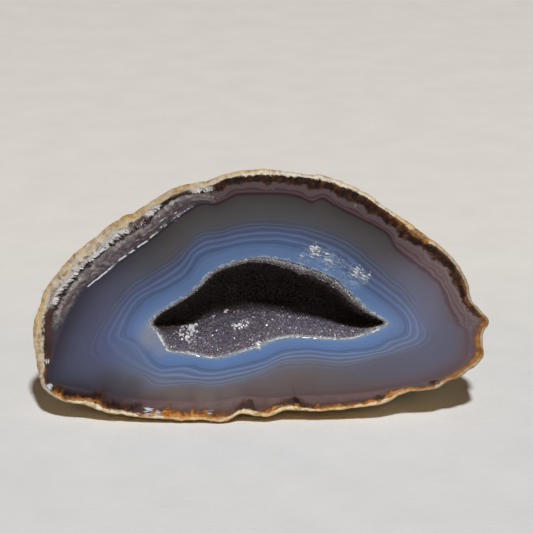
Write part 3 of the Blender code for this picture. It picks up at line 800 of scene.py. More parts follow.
# %% Let a value on the surface be used in sums
class Wire:
    """One output of a node. With + - * or / it adds the node for that sum."""

    def __init__(self, graph, socket):
        self.graph, self.socket = graph, socket

    def __add__(self, other):
        return self.graph.maths("ADD", self, other)

    def __sub__(self, other):
        return self.graph.maths("SUBTRACT", self, other)

    def __rsub__(self, other):
        return self.graph.maths("SUBTRACT", other, self)

    def __mul__(self, other):
        return self.graph.maths("MULTIPLY", self, other)

    def __truediv__(self, other):
        return self.graph.maths("DIVIDE", self, other)


print("a value takes the signs + - * /")

# %% [markdown]
# The other steps get a short name each, so a material reads as a list of what is laid on what.
# A node group gives a shared effect a name and named inputs, and gives back only a colour, a mask
# or a height. The shader itself stays in the material, with its own plain values set on it.

# %% Set up a short hand for shader nodes
class Graph:
    """Adds and wires nodes in one node tree. A value may be a number, a colour or a Wire."""

    def __init__(self, tree):
        self.tree = tree

    def feed(self, socket, value):
        """Wire a value to a socket, or set the socket's own number or colour."""
        if isinstance(value, Wire):
            self.tree.links.new(value.socket, socket)
        elif isinstance(value, tuple) and socket.type == "RGBA":
            socket.default_value = (*value, 1.0)
        else:
            socket.default_value = value

    def add(self, kind, inputs, output=0, **settings):
        """Add a node, set it up, feed its inputs by number or name, and return one output."""
        made = self.tree.nodes.new(kind)
        for key, value in settings.items():
            setattr(made, key, value)
        for key, value in inputs.items():
            self.feed(made.inputs[key], value)
        return Wire(self, made.outputs[output])

    def maths(self, operation, *values, clamp=False):
        """One sum on one to three numbers, kept within 0 and 1 if clamp is set."""
        return self.add("ShaderNodeMath", dict(enumerate(values)),
                        operation=operation, use_clamp=clamp)

    def most(self, first, *others):
        """The greatest of several values."""
        for other in others:
            first = self.maths("MAXIMUM", first, other)
        return first

    def blend(self, amount, a, b):
        """Colour a where amount is 0 and colour b where it is 1."""
        return self.add("ShaderNodeMix", {0: amount, 6: a, 7: b}, 2, data_type="RGBA")

    def scaled(self, colour, amount):
        """A colour made lighter or darker by a number that varies over the surface."""
        return self.add("ShaderNodeVectorMath", {0: colour, "Scale": amount}, operation="SCALE")

    def rise(self, value, low, high):
        """0 below low and 1 above high, smooth between. It falls when low is above high."""
        ends = (0.0, 1.0) if low < high else (1.0, 0.0)
        numbers = (value, min(low, high), max(low, high), *ends)
        return self.add("ShaderNodeMapRange", dict(enumerate(numbers)),
                        interpolation_type="SMOOTHSTEP")

    def between(self, value, start, full, still, end):
        """1 from full to still, and 0 before start and after end, with smooth sides."""
        return self.rise(value, start, full) * self.rise(value, end, still)

    def noise(self, vector, scale, detail=2.0, roughness=0.5, distortion=0.0):
        """Noise from 0 to 1. The scale is in cells per metre for object coordinates."""
        return self.add("ShaderNodeTexNoise", {
            "Vector": vector, "Scale": scale, "Detail": detail, "Roughness": roughness,
            "Distortion": distortion,
        }, "Fac")

    def lines(self, value, per_unit, detail=2.0):
        """Noise along one number only, which gives lines of uneven width and strength."""
        return self.add("ShaderNodeTexNoise", {"W": value, "Scale": per_unit, "Detail": detail},
                        "Fac", noise_dimensions="1D")

    def ramp(self, amount, stops, span=1.0, tone=1.0):
        """A colour ramp from (place, colour) stops, with places from 0 to span."""
        made = self.add("ShaderNodeValToRGB", {0: amount / span})
        points = made.socket.node.color_ramp.elements
        while len(points) < len(stops):
            points.new(0.5)
        for point, (place, colour) in zip(points, stops):
            point.position = place / span
            point.color = (*(tone * value for value in colour), 1.0)
        return made

    def split(self, vector):
        """The x, y and z of a vector."""
        node = self.add("ShaderNodeSeparateXYZ", {0: vector}).socket.node
        return [Wire(self, socket) for socket in node.outputs]

    def join(self, *values):
        """A vector from its x, y and z."""
        return self.add("ShaderNodeCombineXYZ", dict(enumerate(values)))

    def bump(self, height, strength, distance):
        """A normal that leans with the slope of a height."""
        return self.add("ShaderNodeBump",
                        {"Height": height, "Strength": strength, "Distance": distance})

    def attributes(self, *names):
        """The values that are kept on the mesh under these names."""
        return {name: self.add("ShaderNodeAttribute", {}, "Fac", attribute_name=name)
                for name in names}

    def group(self, tree, **inputs):
        """Use a node group: feed its inputs by name and return its outputs by name."""
        node = self.add("ShaderNodeGroup", inputs, node_tree=tree).socket.node
        return {socket.name: Wire(self, socket) for socket in node.outputs}


FLOAT, COLOUR, VECTOR = "NodeSocketFloat", "NodeSocketColor", "NodeSocketVector"


def new_group(name, inputs, outputs):
    """A node group from the kinds of its sockets. Returns tree, graph, inputs and outputs."""
    tree = bpy.data.node_groups.new(name, "ShaderNodeTree")
    for side, sockets in (("INPUT", inputs), ("OUTPUT", outputs)):
        for label, kind in sockets.items():
            tree.interface.new_socket(name=label, in_out=side, socket_type=kind)
    graph = Graph(tree)
    given = tree.nodes.new("NodeGroupInput").outputs
    wires = {label: Wire(graph, given[label]) for label in inputs}
    return tree, graph, wires, tree.nodes.new("NodeGroupOutput").inputs


def principled(name, **values):
    """A material with its shader's own values set. Returns the material, graph and shader."""
    made = bpy.data.materials.new(name)
    made.use_nodes = True
    shader = made.node_tree.nodes["Principled BSDF"]
    for key, value in values.items():
        shader.inputs[key.replace("_", " ")].default_value = value
    return made, Graph(made.node_tree), shader


print("steps", [name for name in vars(Graph) if not name.startswith("_")])

# %% [markdown]
# Silica gel set layer on layer here, with a little iron or clay in some layers, and each layer
# has its own tone. Four ramps give the broad tones from the hollow out to the mauve zone: at the
# top, along the bottom, and at the two ends, where the blue turns violet. One more ramp holds the
# lines that run right round the stone.

# %% List the tones of the layers
BLUE_SPAN = 3.0
TONES = {"top": 1.06, "low": 1.28, "left": 1.1, "right": 1.34}
BAND_STOPS = {
    "top": [
        (0.0, (0.2, 0.24, 0.34)), (0.05, (0.11, 0.182, 0.336)), (0.5, (0.089, 0.155, 0.306)),
        (0.85, (0.077, 0.12, 0.235)), (1.4, (0.08, 0.11, 0.208)), (1.65, (0.07, 0.09, 0.16)),
        (1.95, (0.07, 0.084, 0.127)), (2.1, (0.069, 0.076, 0.098)), (2.3, (0.07, 0.071, 0.078)),
        (2.65, (0.06, 0.057, 0.06)), (2.9, (0.048, 0.043, 0.047)), (2.96, (0.03, 0.021, 0.024)),
    ],
    "low": [
        (0.0, (0.3, 0.35, 0.45)), (0.08, (0.19, 0.26, 0.4)), (0.2, (0.112, 0.19, 0.362)),
        (0.5, (0.093, 0.165, 0.347)), (0.85, (0.093, 0.148, 0.282)), (1.4, (0.12, 0.155, 0.246)),
        (1.7, (0.113, 0.138, 0.208)), (2.0, (0.12, 0.132, 0.176)), (2.2, (0.112, 0.106, 0.123)),
        (2.5, (0.108, 0.091, 0.092)), (2.85, (0.097, 0.075, 0.077)), (3.0, (0.09, 0.059, 0.063)),
    ],
    "left": [
        (0.0, (0.25, 0.26, 0.32)), (0.1, (0.23, 0.245, 0.31)), (0.2, (0.178, 0.21, 0.308)),
        (0.5, (0.102, 0.136, 0.262)), (0.85, (0.083, 0.109, 0.223)), (1.4, (0.08, 0.101, 0.208)),
        (1.8, (0.076, 0.091, 0.17)), (2.2, (0.074, 0.084, 0.14)), (2.6, (0.058, 0.063, 0.1)),
        (2.8, (0.046, 0.048, 0.074)), (3.0, (0.036, 0.033, 0.05)),
    ],
    "right": [
        (0.0, (0.31, 0.335, 0.39)), (0.1, (0.16, 0.202, 0.3)), (0.4, (0.12, 0.165, 0.284)),
        (0.85, (0.107, 0.139, 0.245)), (1.4, (0.115, 0.141, 0.238)), (1.8, (0.105, 0.12, 0.198)),
        (2.1, (0.112, 0.122, 0.195)), (2.5, (0.108, 0.107, 0.155)), (2.85, (0.1, 0.087, 0.112)),
        (2.95, (0.074, 0.05, 0.06)),
    ],
}
# Tones of the mauve zone, as growth past 3, before the dark layer covers its outer part
MAUVE_STOPS = {
    "top": [
        (0.0, (0.024, 0.012, 0.016)), (0.05, (0.068, 0.04, 0.048)), (0.14, (0.086, 0.051, 0.061)),
        (0.26, (0.08, 0.049, 0.057)), (0.34, (0.042, 0.023, 0.03)), (0.42, (0.076, 0.051, 0.058)),
        (0.6, (0.094, 0.069, 0.074)), (0.85, (0.094, 0.07, 0.074)), (1.05, (0.07, 0.047, 0.047)),
    ],
    "low": [
        (0.0, (0.094, 0.06, 0.061)), (0.07, (0.115, 0.077, 0.079)), (0.13, (0.104, 0.067, 0.068)),
        (0.22, (0.125, 0.083, 0.086)), (1.0, (0.118, 0.078, 0.08)), (1.5, (0.09, 0.055, 0.05)),
        (1.8, (0.11, 0.057, 0.038)),
    ],
    "left": [
        (0.0, (0.042, 0.038, 0.054)), (0.3, (0.052, 0.045, 0.06)), (1.0, (0.05, 0.036, 0.042)),
    ],
    "right": [
        (0.0, (0.062, 0.04, 0.048)), (0.08, (0.108, 0.08, 0.089)), (0.2, (0.125, 0.095, 0.103)),
        (0.32, (0.082, 0.056, 0.062)), (0.45, (0.13, 0.1, 0.105)), (0.58, (0.094, 0.066, 0.07)),
        (0.75, (0.14, 0.11, 0.112)), (1.05, (0.115, 0.075, 0.067)),
    ],
}
# Lines that run right round, at half their strength
LINE_STOPS = [
    (0.0, 0.5), (0.45, 0.49), (0.53, 0.53), (0.6, 0.48), (0.74, 0.5), (0.82, 0.42), (0.88, 0.36),
    (0.95, 0.44), (1.05, 0.61), (1.13, 0.55), (1.2, 0.42), (1.26, 0.37), (1.32, 0.42),
    (1.39, 0.58), (1.45, 0.6), (1.52, 0.48), (1.6, 0.36), (1.67, 0.44), (1.76, 0.63), (1.82, 0.52),
    (1.89, 0.37), (1.97, 0.58), (2.05, 0.43), (2.13, 0.52), (2.2, 0.49), (2.3, 0.5),
]
print("ramps have", {side: len(BAND_STOPS[side]) for side in BAND_STOPS}, "stops")

# %% [markdown]
# The ramps are read at the growth value, so a band keeps its distance from its neighbours all
# round. Noise along growth alone adds finer lines. A slow noise in space bends them a little, so
# no line is perfectly even, and at the two ends the lines fade.

# %% Paint the growth bands
numbers = dict.fromkeys(("Growth", "Left", "Right", "Low", "Calm"), FLOAT)
bands_tree, g, given, result = new_group(
    "Growth Bands", {**numbers, "Position": VECTOR}, {"Colour": COLOUR}
)
swing = g.noise(given["Position"], 75.0, 1.0) - 0.5
ripple = g.noise(given["Position"], 300.0, 3.0) - 0.5
bend = swing * 0.3 + ripple * (given["Right"] * 0.16 + 0.13)
bent = given["Growth"] + bend * g.between(given["Growth"], 0.1, 0.8, 2.2, 2.9)


def by_side(stops, amount):
    """Blend the ramps of the four sides by the side masks."""
    ramps = {side: g.ramp(amount, stops[side], BLUE_SPAN, TONES[side]) for side in stops}
    upper = g.blend(given["Low"], ramps["top"], ramps["low"])
    sided = g.blend(given["Left"], upper, ramps["left"])
    return g.blend(given["Right"], sided, ramps["right"])


in_mauve = g.maths("GREATER_THAN", bent, BLUE_SPAN)
tones = g.blend(in_mauve, by_side(BAND_STOPS, bent), by_side(MAUVE_STOPS, bent - BLUE_SPAN))
strong = g.ramp(bent, [(place, (value,) * 3) for place, value in LINE_STOPS], BLUE_SPAN)
strong = (strong * 2.0 - 1.0) * (1.0 - g.most(given["Left"], given["Right"]) * 0.45)
banded = g.between(bent, 0.5, 1.1, 1.95, 2.25)
mauve_part = g.between(bent, 2.95, 3.1, 3.9, 4.2)
hair_lines = (g.lines(bent, 15.0, 3.0) - 0.5) * (g.most(banded * 0.6, mauve_part * 0.7) + 0.08)
haze = (g.noise(given["Position"], 120.0, 5.0, 0.6) - 0.5) * 0.24
tone = (strong + hair_lines) * (1.0 - given["Calm"]) + 1.0 + haze
g.feed(result["Colour"], g.scaled(tones, tone))
print("growth bands use", len(bands_tree.nodes), "nodes")

# %% [markdown]
# The rind is weathered rock: pale clay in some places and golden in others, with rusty patches
# and dark specks, all rough to the touch. Its skin is golden where the saw cut through it.

# %% Make the weathered rind
rind_tree, g, given, result = new_group(
    "Weathered Rind", {"Position": VECTOR, **dict.fromkeys(("Strands", "Gold", "Skin"), FLOAT)},
    {"Colour": COLOUR, "Height": FLOAT},
)
broad = g.noise(given["Position"], 120.0, 5.0, 0.6)
mottle = g.noise(given["Position"], 420.0, 6.0, 0.7) * 0.6 + given["Strands"] * 0.4
grains = g.noise(given["Position"], 1500.0, 4.0, 0.75)
pale = g.ramp(mottle, [
    (0.34, (0.28, 0.24, 0.18)), (0.42, (0.56, 0.51, 0.41)), (0.5, (0.8, 0.75, 0.64)),
    (0.62, (0.9, 0.87, 0.79)),
])
golden = g.ramp(mottle, [
    (0.32, (0.26, 0.15, 0.055)), (0.4, (0.54, 0.36, 0.15)), (0.48, (0.72, 0.54, 0.28)),
    (0.58, (0.8, 0.67, 0.42)), (0.68, (0.66, 0.6, 0.47)),
])
clay = g.blend(g.maths("ADD", given["Gold"], (broad - 0.5) * 3.0, clamp=True), pale, golden)
clay = g.blend(given["Skin"], clay, g.ramp(given["Strands"], [
    (0.35, (0.42, 0.2, 0.05)), (0.5, (0.68, 0.4, 0.12)), (0.65, (0.82, 0.6, 0.27)),
]))
rust = g.rise(g.noise(given["Position"], 260.0, 6.0, 0.68, 0.6), 0.57, 0.65)
clay = g.blend(rust * 0.7, clay, (0.42, 0.19, 0.05))
specks = g.rise(grains, 0.41, 0.31)
g.feed(result["Colour"], g.blend(specks * 0.5, clay, (0.16, 0.11, 0.07)))
g.feed(result["Height"], g.noise(given["Position"], 600.0, 6.0, 0.65) + grains * 0.5)
print("weathered rind uses", len(rind_tree.nodes), "nodes")

# %% [markdown]
# Small chips broke out of the polish in a few places and scatter light, so they look white. At the
# upper left the saw left a broken strip, with frosty quartz fibres that stand across the layers.
# A chip is where a flaky noise, raised near a chosen place, passes a threshold. A fibre is where
# a noise that is stretched across the layers does, and it tapers outwards.

# %% Make soft spots, chips and fibres
place = {"Position": VECTOR, "Centre": VECTOR, "Radius": FLOAT}
spot_tree, g, given, result = new_group("Soft Spot", place, {"Mask": FLOAT})
away = g.add("ShaderNodeVectorMath", {0: given["Position"], 1: given["Centre"]}, "Value",
             operation="DISTANCE")
g.feed(result["Mask"], g.rise(away / given["Radius"], 1.0, 0.2))

chip_tree, g, given, result = new_group(
    "White Chips", {**place, "Amount": FLOAT, "Flakes": FLOAT}, {"Mask": FLOAT}
)
near = g.group(spot_tree, **{key: given[key] for key in place})["Mask"]
level = given["Flakes"] + near * given["Amount"]
g.feed(result["Mask"], g.rise(level, 0.615, 0.68) * g.rise(near, 0.02, 0.15))

fibre_tree, g, given, result = new_group(
    "Frosty Fibres", dict.fromkeys(("Strands", "Growth", "Amount"), FLOAT), {"Mask": FLOAT}
)
level = given["Strands"] + (given["Growth"] - 4.4) * 0.42
zone = g.between(given["Growth"], 3.95, 4.25, 5.05, 5.35) * g.rise(given["Amount"], 0.0, 0.75)
g.feed(result["Mask"], g.rise(level, 0.45, 0.6) * zone)
print("groups", [tree.name for tree in bpy.data.node_groups])

# %% [markdown]
# The stone's material puts these together. It reads where a point is on the stone, how far round
# the rim, and the values that were kept on the mesh. Noise is also drawn in cells that follow the
# rim and the layers, because dirt, fibres and flakes all streak across the layers.

# %% Start the stone's material
agate, g, shader = principled("polished_banded_agate", IOR=1.54)
position = g.add("ShaderNodeTexCoord", {}, "Object")
across_face, _, height = g.split(position)
turn = g.split(g.add("ShaderNodeUVMap", {}, uv_map="growth_map"))[0]
angle = turn * (2.0 * math.pi)
kept = g.attributes("growth", *rim_values)
growth = kept["growth"]


def rim_noise(across_rim, through_layers, detail=3.0, roughness=0.55, distortion=0.2):
    """Noise in cells round the rim and per step of growth, so it can streak across the layers."""
    radius = across_rim / (2.0 * math.pi)
    place = g.join(g.maths("COSINE", angle) * radius, g.maths("SINE", angle) * radius,
                   growth * through_layers)
    return g.noise(place, 1.0, detail, roughness, distortion)


def on_face(x, b):
    """A place on the face in millimetres as a point in metres."""
    return tuple(to_world(np.array([x, b, 0.0])))


def spots(places):
    """The strongest of several soft spots, given as place on the face, radius and strength."""
    total = 0.0
    for place, radius, strength in places:
        spot = g.group(spot_tree, Position=position, Centre=on_face(*place), Radius=radius * MM)
        total = g.maths("MAXIMUM", total, spot["Mask"] * strength)
    return total


print("values read from the mesh", list(kept))

# %% [markdown]
# The face's own left, right and bottom pick the ramps. Towards the rim the layers turn ragged
# and dip in cusps, so their growth value is shaken before it is used. A few places have a tone of
# their own: pale at the hollow's left tip, dusky and warm at the bottom.

# %% Lay the bands on the face
# Object coordinates are in metres, and so are the distances here
left = g.rise(across_face, -0.022, -0.046) * g.rise(height, 0.002, 0.007)
right = g.rise(across_face, 0.026, 0.046) * g.between(height, 0.004, 0.011, 0.036, 0.052)
low = g.rise(height, 0.033, 0.022)

coarse = g.noise(position, 230.0, 3.0) - 0.5
ragged = g.noise(position, 950.0, 5.0, 0.7) - 0.5
unsteady = g.noise(position, 480.0, 3.0) - 0.5
layer = growth + kept["dip"] * 1.25 * g.between(growth, 2.95, 3.45, 4.2, 5.0)
layer = layer + (coarse * 0.75 + ragged * 1.1) * g.between(growth, 3.3, 4.1, 5.6, 6.3)
layer = layer + unsteady * (right * 0.3 + 0.1) * g.rise(growth, 2.6, 3.1)

calm = spots([((-38.0, 12.0), 15.0, 0.85), ((-30.0, 9.0), 9.0, 0.5)])
bands = g.group(bands_tree, Growth=layer, Left=left, Right=right, Low=low, Calm=calm,
                Position=position)["Colour"]
below_right = g.rise(across_face, 0.028, 0.044) * g.rise(height, 0.029, 0.021)
below_right = below_right * g.rise(layer, 2.55, 2.95)
bands = g.blend(below_right * 0.75, bands, (0.125, 0.092, 0.108))
cool = g.rise(across_face, 0.008, 0.032) * g.rise(height, 0.031, 0.02)
cool = cool * g.between(layer, 1.75, 2.15, 2.5, 2.95)
bands = g.blend(cool * 0.6, bands, (0.108, 0.113, 0.163))
TONE_PLACES = [
    ([((-28.8, 22.2), 5.0, 0.85), ((-26.6, 19.4), 3.6, 0.55)], (0.238, 0.262, 0.34)),
    ([((-39.8, 9.6), 6.5, 0.5), ((-34.2, 8.2), 5.5, 0.4)], (0.052, 0.05, 0.062)),
    ([((-14.2, 5.6), 5.0, 0.6), ((-21.5, 6.0), 4.5, 0.3), ((-8.0, 6.4), 5.0, 0.35)],
     (0.185, 0.155, 0.14)),
]
for places, shade in TONE_PLACES:
    bands = g.blend(spots(places), bands, shade)
print("places with a tone of their own", len(TONE_PLACES))

# %% [markdown]
# A layer of iron-dark quartz follows the mauve. It is full round the top, and thin and patchy
# along the bottom. Where the kept strength is under 1 the layer lacks depth and starts further
# out, and where it is over 1 it starts further in.

# %% Cover the mauve with the dark layer
strands = rim_noise(260.0, 1.1, 4.0, 0.6)
smoke = g.noise(position, 420.0, 5.0, 0.65, 0.5)
lumps = g.noise(position, 210.0, 3.0, 0.6, 0.4) * 0.75 + smoke * 0.25
lack = g.maths("SUBTRACT", 1.0, kept["dark"], clamp=True)
excess = g.maths("SUBTRACT", kept["dark"], 1.0, clamp=True)

drift = (lumps - 0.5) * 5.0 * (lack + excess * 0.9)
dark_depth = layer + drift - (lack * 0.9 - excess * 1.35 + 3.88)
softness = (lack + excess) * 1.5 + 0.25
dark_cover = g.maths("DIVIDE", dark_depth, softness, clamp=True) * g.rise(kept["dark"], 0.0, 0.35)
fibrous = (strands - smoke) * (0.6 - low * 0.5) + smoke
iron = g.ramp(fibrous, [
    (0.38, (0.009, 0.004, 0.004)), (0.49, (0.021, 0.01, 0.008)), (0.56, (0.048, 0.021, 0.011)),
    (0.66, (0.105, 0.043, 0.016)),
])
iron = g.blend(lack * 0.6, iron, (0.075, 0.043, 0.034))
paler = g.maths("SUBTRACT", 0.65, excess * 1.8, clamp=True)
iron = g.blend(low * paler, iron, (0.085, 0.05, 0.045))

grain = (rim_noise(70.0, 0.5) - 0.5) * 0.9 + 1.0
bands = g.blend(g.rise(layer, 3.0, 3.3) * low, bands, g.scaled(bands, grain))
colour = g.blend(dark_cover * 0.95, bands, iron)
print("nodes so far", len(agate.node_tree.nodes))

# %% [markdown]
# The rusty layer comes next. It is strongest at the right end and reaches in as teeth along the
# bottom. The rind closes the stone, with its golden skin, and rust shows through in a few places.
# Along the bottom and the lower left the rind is painted lighter, where its edge turns from the
# lamp.

# %% Add the rusty layer and the rind
full_dark = 1.0 - lack
reach = kept["rust"] * (1.0 - full_dark * 0.4)
teeth = (lumps * 0.85 + smoke * 0.15 - 0.5) * 3.2
rust_depth = growth + teeth + reach * 0.55 - full_dark * 0.3 + excess * 0.45
rust_part = g.rise(rust_depth, 4.5, 5.2) * g.rise(kept["rust"], 0.05, 0.5)
rust_part = rust_part * g.rise(growth + teeth - lack * 0.35, 5.35, 5.0)
orange = g.ramp(rust_depth - 4.75 + (smoke - 0.5), [
    (0.0, (0.075, 0.033, 0.018)), (0.22, (0.2, 0.076, 0.022)), (0.45, (0.44, 0.165, 0.034)),
    (0.85, (0.68, 0.37, 0.11)),
])
orange = g.blend(right * 0.65, orange, (0.19, 0.092, 0.045))

skin = g.rise(layer, 5.65, 5.95) * g.rise(growth, 6.5, 6.1) * (kept["gold"] * 0.5 + 0.45)
at_edge = g.rise(growth, 6.7, 6.0)
coat = strands * at_edge + smoke * (1.0 - at_edge)
weathered = g.group(rind_tree, Position=position, Strands=coat, Gold=kept["gold"], Skin=skin)
# Painted light: the rind is made lighter along the bottom and at the lower left, where its edge
# turns down from the lamp, and a little darker on the broken strip.
lower_left = left * g.rise(height, 0.036, 0.026)
rind_painted_light = g.most(low, lower_left) * 0.25 + 0.95 - kept["broken"] * 0.17
clay = g.blend(right * 0.5, g.scaled(weathered["Colour"], rind_painted_light), (0.2, 0.11, 0.06))
on_rind = g.rise(layer, 4.98, 5.2)
colour = g.blend(on_rind, colour, clay)
colour = g.blend(rust_part, colour, orange)

RUST_PLACES = [
    ((59.0, 26.2), 2.8, 0.9), ((41.4, 49.6), 2.8, 1.0), ((43.6, 48.2), 2.0, 0.8),
    ((-31.0, 56.2), 1.4, 1.0), ((58.0, 18.0), 3.0, 0.7), ((-51.2, 6.0), 1.8, 0.8),
    ((-1.5, 61.4), 3.6, 0.5), ((-8.5, 60.6), 3.0, 0.45),
]
rust_spots = g.rise(spots(RUST_PLACES) + (smoke - 0.5) * 1.6, 0.3, 0.7)
rust_spots = rust_spots * g.rise(growth, 4.1, 4.5)
colour = g.blend(rust_spots * 0.85, colour, g.ramp(smoke, [
    (0.4, (0.16, 0.06, 0.016)), (0.6, (0.46, 0.21, 0.045)),
]))
print("rusty places", len(RUST_PLACES))

# %% [markdown]
# At the upper left a strip broke off along the mauve zone. Its floor is splintered and pale, with
# a slate-blue step on the inside and two plum lines. Frosty fibres stand across its outer part.

# %% Break the strip at the upper left
place_noise = (g.noise(position, 400.0, 4.0, 0.6) - 0.5) * 1.6
broken = g.rise(kept["broken"] + place_noise, 0.2, 0.7)
ledge_face = broken * g.rise(growth, 3.0, 3.03)
on_strip = layer + (g.lines(turn, 45.0, 4.0) - 0.5) * 0.25
strip = ledge_face * (g.rise(on_strip, 3.1, 3.22) * g.rise(layer, 4.0, 3.82))

streaks = g.noise(g.join(turn * 130.0, layer * 3.4), 1.0, 6.0, 0.7, 0.6)
streaks = streaks + g.rise(layer, 3.3, 3.75) * 0.1 - left * 0.03
splinters = g.ramp(streaks, [
    (0.34, (0.04, 0.025, 0.032)), (0.44, (0.085, 0.064, 0.075)), (0.54, (0.165, 0.138, 0.148)),
    (0.64, (0.3, 0.275, 0.27)), (0.73, (0.5, 0.49, 0.46)),
])
slate = g.ramp(streaks, [
    (0.4, (0.036, 0.036, 0.052)), (0.6, (0.062, 0.064, 0.085)), (0.75, (0.16, 0.17, 0.2)),
])
colour = g.blend(ledge_face * g.rise(on_strip, 3.28, 3.16), colour, slate)
colour = g.blend(strip * 0.92, colour, splinters)

first_line = g.between(on_strip, 3.12, 3.18, 3.26, 3.34)
second_line = g.between(on_strip, 3.4, 3.47, 3.56, 3.66)
plum_lines = g.most(first_line, second_line * 0.6) * strip * g.rise(left, 0.9, 0.4)
colour = g.blend(plum_lines * 0.85, colour, (0.045, 0.024, 0.03))

fibres = rim_noise(560.0, 1.0, 3.0, 0.6)
frost = g.group(fibre_tree, Strands=fibres, Growth=growth, Amount=kept["frost"])["Mask"]
colour = g.blend(frost, colour, g.ramp(fibres, [
    (0.35, (0.38, 0.36, 0.36)), (0.62, (0.76, 0.75, 0.73)),
]))
print("nodes so far", len(agate.node_tree.nodes))

# %% [markdown]
# White shows wherever the polish is broken: in dashes along the strip's edge, in chips, and as a
# sugary line round the hollow. Bluish wisps lie over the bands at the upper right of the hollow.

# %% Scatter the white chips
dash_place = growth + (g.lines(turn, 60.0, 3.0) - 0.5) * 0.14
dash_gaps = g.lines(turn, 110.0, 5.0) + kept["dashes"] * 0.22
dashes = g.between(dash_place, 3.0, 3.03, 3.11, 3.14) * g.rise(dash_gaps, 0.52, 0.62)
chips = dashes * g.rise(kept["dashes"], 0.0, 0.9)

CHIP_PLACES = [
    ((14.3, 44.6), 3.4, 0.17), ((17.8, 42.4), 3.0, 0.1), ((11.2, 43.0), 2.0, 0.12),
    ((21.4, 41.8), 2.0, 0.11), ((25.2, 39.1), 2.6, 0.16), ((27.6, 37.6), 2.4, 0.14),
    ((-29.4, 2.6), 2.2, 0.2), ((-27.2, 2.0), 1.6, 0.14), ((-56.1, 15.7), 1.2, 0.22),
    ((-55.4, 9.1), 1.4, 0.22), ((-25.4, 52.2), 2.2, 0.07), ((-21.6, 53.4), 2.4, 0.06),
    ((-31.5, 47.6), 1.8, 0.06), ((-34.5, 49.9), 2.0, 0.09), ((-0.6, 19.4), 1.4, 0.19),
    ((-13.4, 2.6), 1.6, 0.14),
]
flakes = rim_noise(100.0, 9.0, 4.0, 0.6, 0.6) * 0.86 + g.noise(position, 1300.0, 3.0, 0.7) * 0.14
for place, radius, amount in CHIP_PLACES:
    chip = g.group(chip_tree, Position=position, Centre=on_face(*place), Radius=radius * MM,
                   Amount=amount, Flakes=flakes)
    chips = g.most(chips, chip["Mask"])
chips = chips * g.rise(growth, 6.1, 5.9)

sugar = g.noise(position, 500.0, 5.0, 0.7)
below = g.rise(height, 0.031, 0.024)
mouth_line = g.rise(growth + (0.5 - sugar) * 0.75 - below * 0.02, 0.08, 0.0)
white = g.most(chips, mouth_line * (below * 0.55 + 0.35))
colour = g.blend(white, colour, (0.66, 0.7, 0.76))

WISP_PLACES = [
    ((17.5, 41.6), 5.5, 1.0), ((24.5, 37.4), 4.5, 0.8), ((12.0, 43.4), 3.5, 0.6),
    ((22.5, 39.6), 4.0, 0.8),
]
wisps = g.rise(rim_noise(110.0, 9.0, 5.0, 0.62, 1.0), 0.44, 0.62) * spots(WISP_PLACES) * 0.9
colour = g.blend(wisps, colour, (0.27, 0.36, 0.5))
print("chips", len(CHIP_PLACES), "wisps", len(WISP_PLACES))

# %% [markdown]
# The sawn flat underneath is plain and dull. The polish is glossy, and rind, broken strip and
# chips are matt. Only what is matt has bumps, and they come from the rind's own height.

# %% Set the stone's colour, gloss and bumps
sawn = g.rise(height, 0.00012, 0.00004) * g.rise(growth, 6.0, 6.3)
sawn_colour = g.ramp(g.noise(position, 140.0, 4.0), [
    (0.35, (0.24, 0.22, 0.21)), (0.5, (0.34, 0.3, 0.26)), (0.65, (0.46, 0.41, 0.34)),
])
g.feed(shader.inputs["Base Color"], g.blend(sawn, colour, sawn_colour))
matt = g.most(strip, frost, white, on_rind) * (1.0 - sawn)
gloss = g.maths("MULTIPLY_ADD", matt, 0.66, 0.17) + sawn * 0.4
g.feed(shader.inputs["Roughness"], gloss)
g.feed(shader.inputs["Normal"], g.bump(weathered["Height"] * matt, 0.9, 0.0006))
stone.data.materials.append(agate)
print("the stone's material has", len(agate.node_tree.nodes), "nodes")

# %% [markdown]
# The crystals are smoky quartz: grey with a breath of violet, glassy, and paler near the mouth.
# Each crystal has its own tint, so the crust has grain, and its flat faces flash in turn as the
# light or the view moves; the palest few tints are painted glints. Under the arch the crust is
# painted almost black, as painted shade, and made rougher.

# %% Dress the crystals
quartz, g, shader = principled(
    "smoky_quartz_druse", IOR=1.544, Subsurface_Weight=0.2, Subsurface_Scale=0.001
)
kept = g.attributes("tint", "white", "dusk")
# Painted glints: the top of the tint ramp makes a few percent of the crystals near white.
smoky = g.ramp(kept["tint"], [
    (0.0, (0.085, 0.071, 0.09)), (0.3, (0.138, 0.119, 0.162)), (0.6, (0.18, 0.162, 0.214)),
    (0.9, (0.24, 0.222, 0.285)), (0.97, (0.38, 0.37, 0.44)), (1.0, (0.62, 0.6, 0.66)),
])
# Painted shade: the crust is made almost black under the arch; the same value makes it rougher.
smoky = g.blend(kept["dusk"], smoky, (0.018, 0.009, 0.008))
frosted = g.blend(kept["dusk"], (0.88, 0.87, 0.88), (0.5, 0.38, 0.36))
g.feed(shader.inputs["Base Color"], g.blend(kept["white"], smoky, frosted))
g.feed(shader.inputs["Roughness"], g.maths("MULTIPLY_ADD", kept["dusk"], 0.3, 0.24))
crust.data.materials.append(quartz)

for piece, node in ((stone, "geode_half"), (crust, "crystal_lining")):
    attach(piece, "root")
    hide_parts(node)
print("pieces", [stone.name, crust.name])

# %% [markdown]
# The stone stands on a plain pale plaster floor, painted lighter and warmer behind it than in
# front.

# %% Lay the floor
FLOOR_SIZE = 6.0
FLOOR_GAP = 0.05 * MM
plaster, g, shader = principled("pale_plaster", Roughness=0.8)
position = g.add("ShaderNodeTexCoord", {}, "Object")
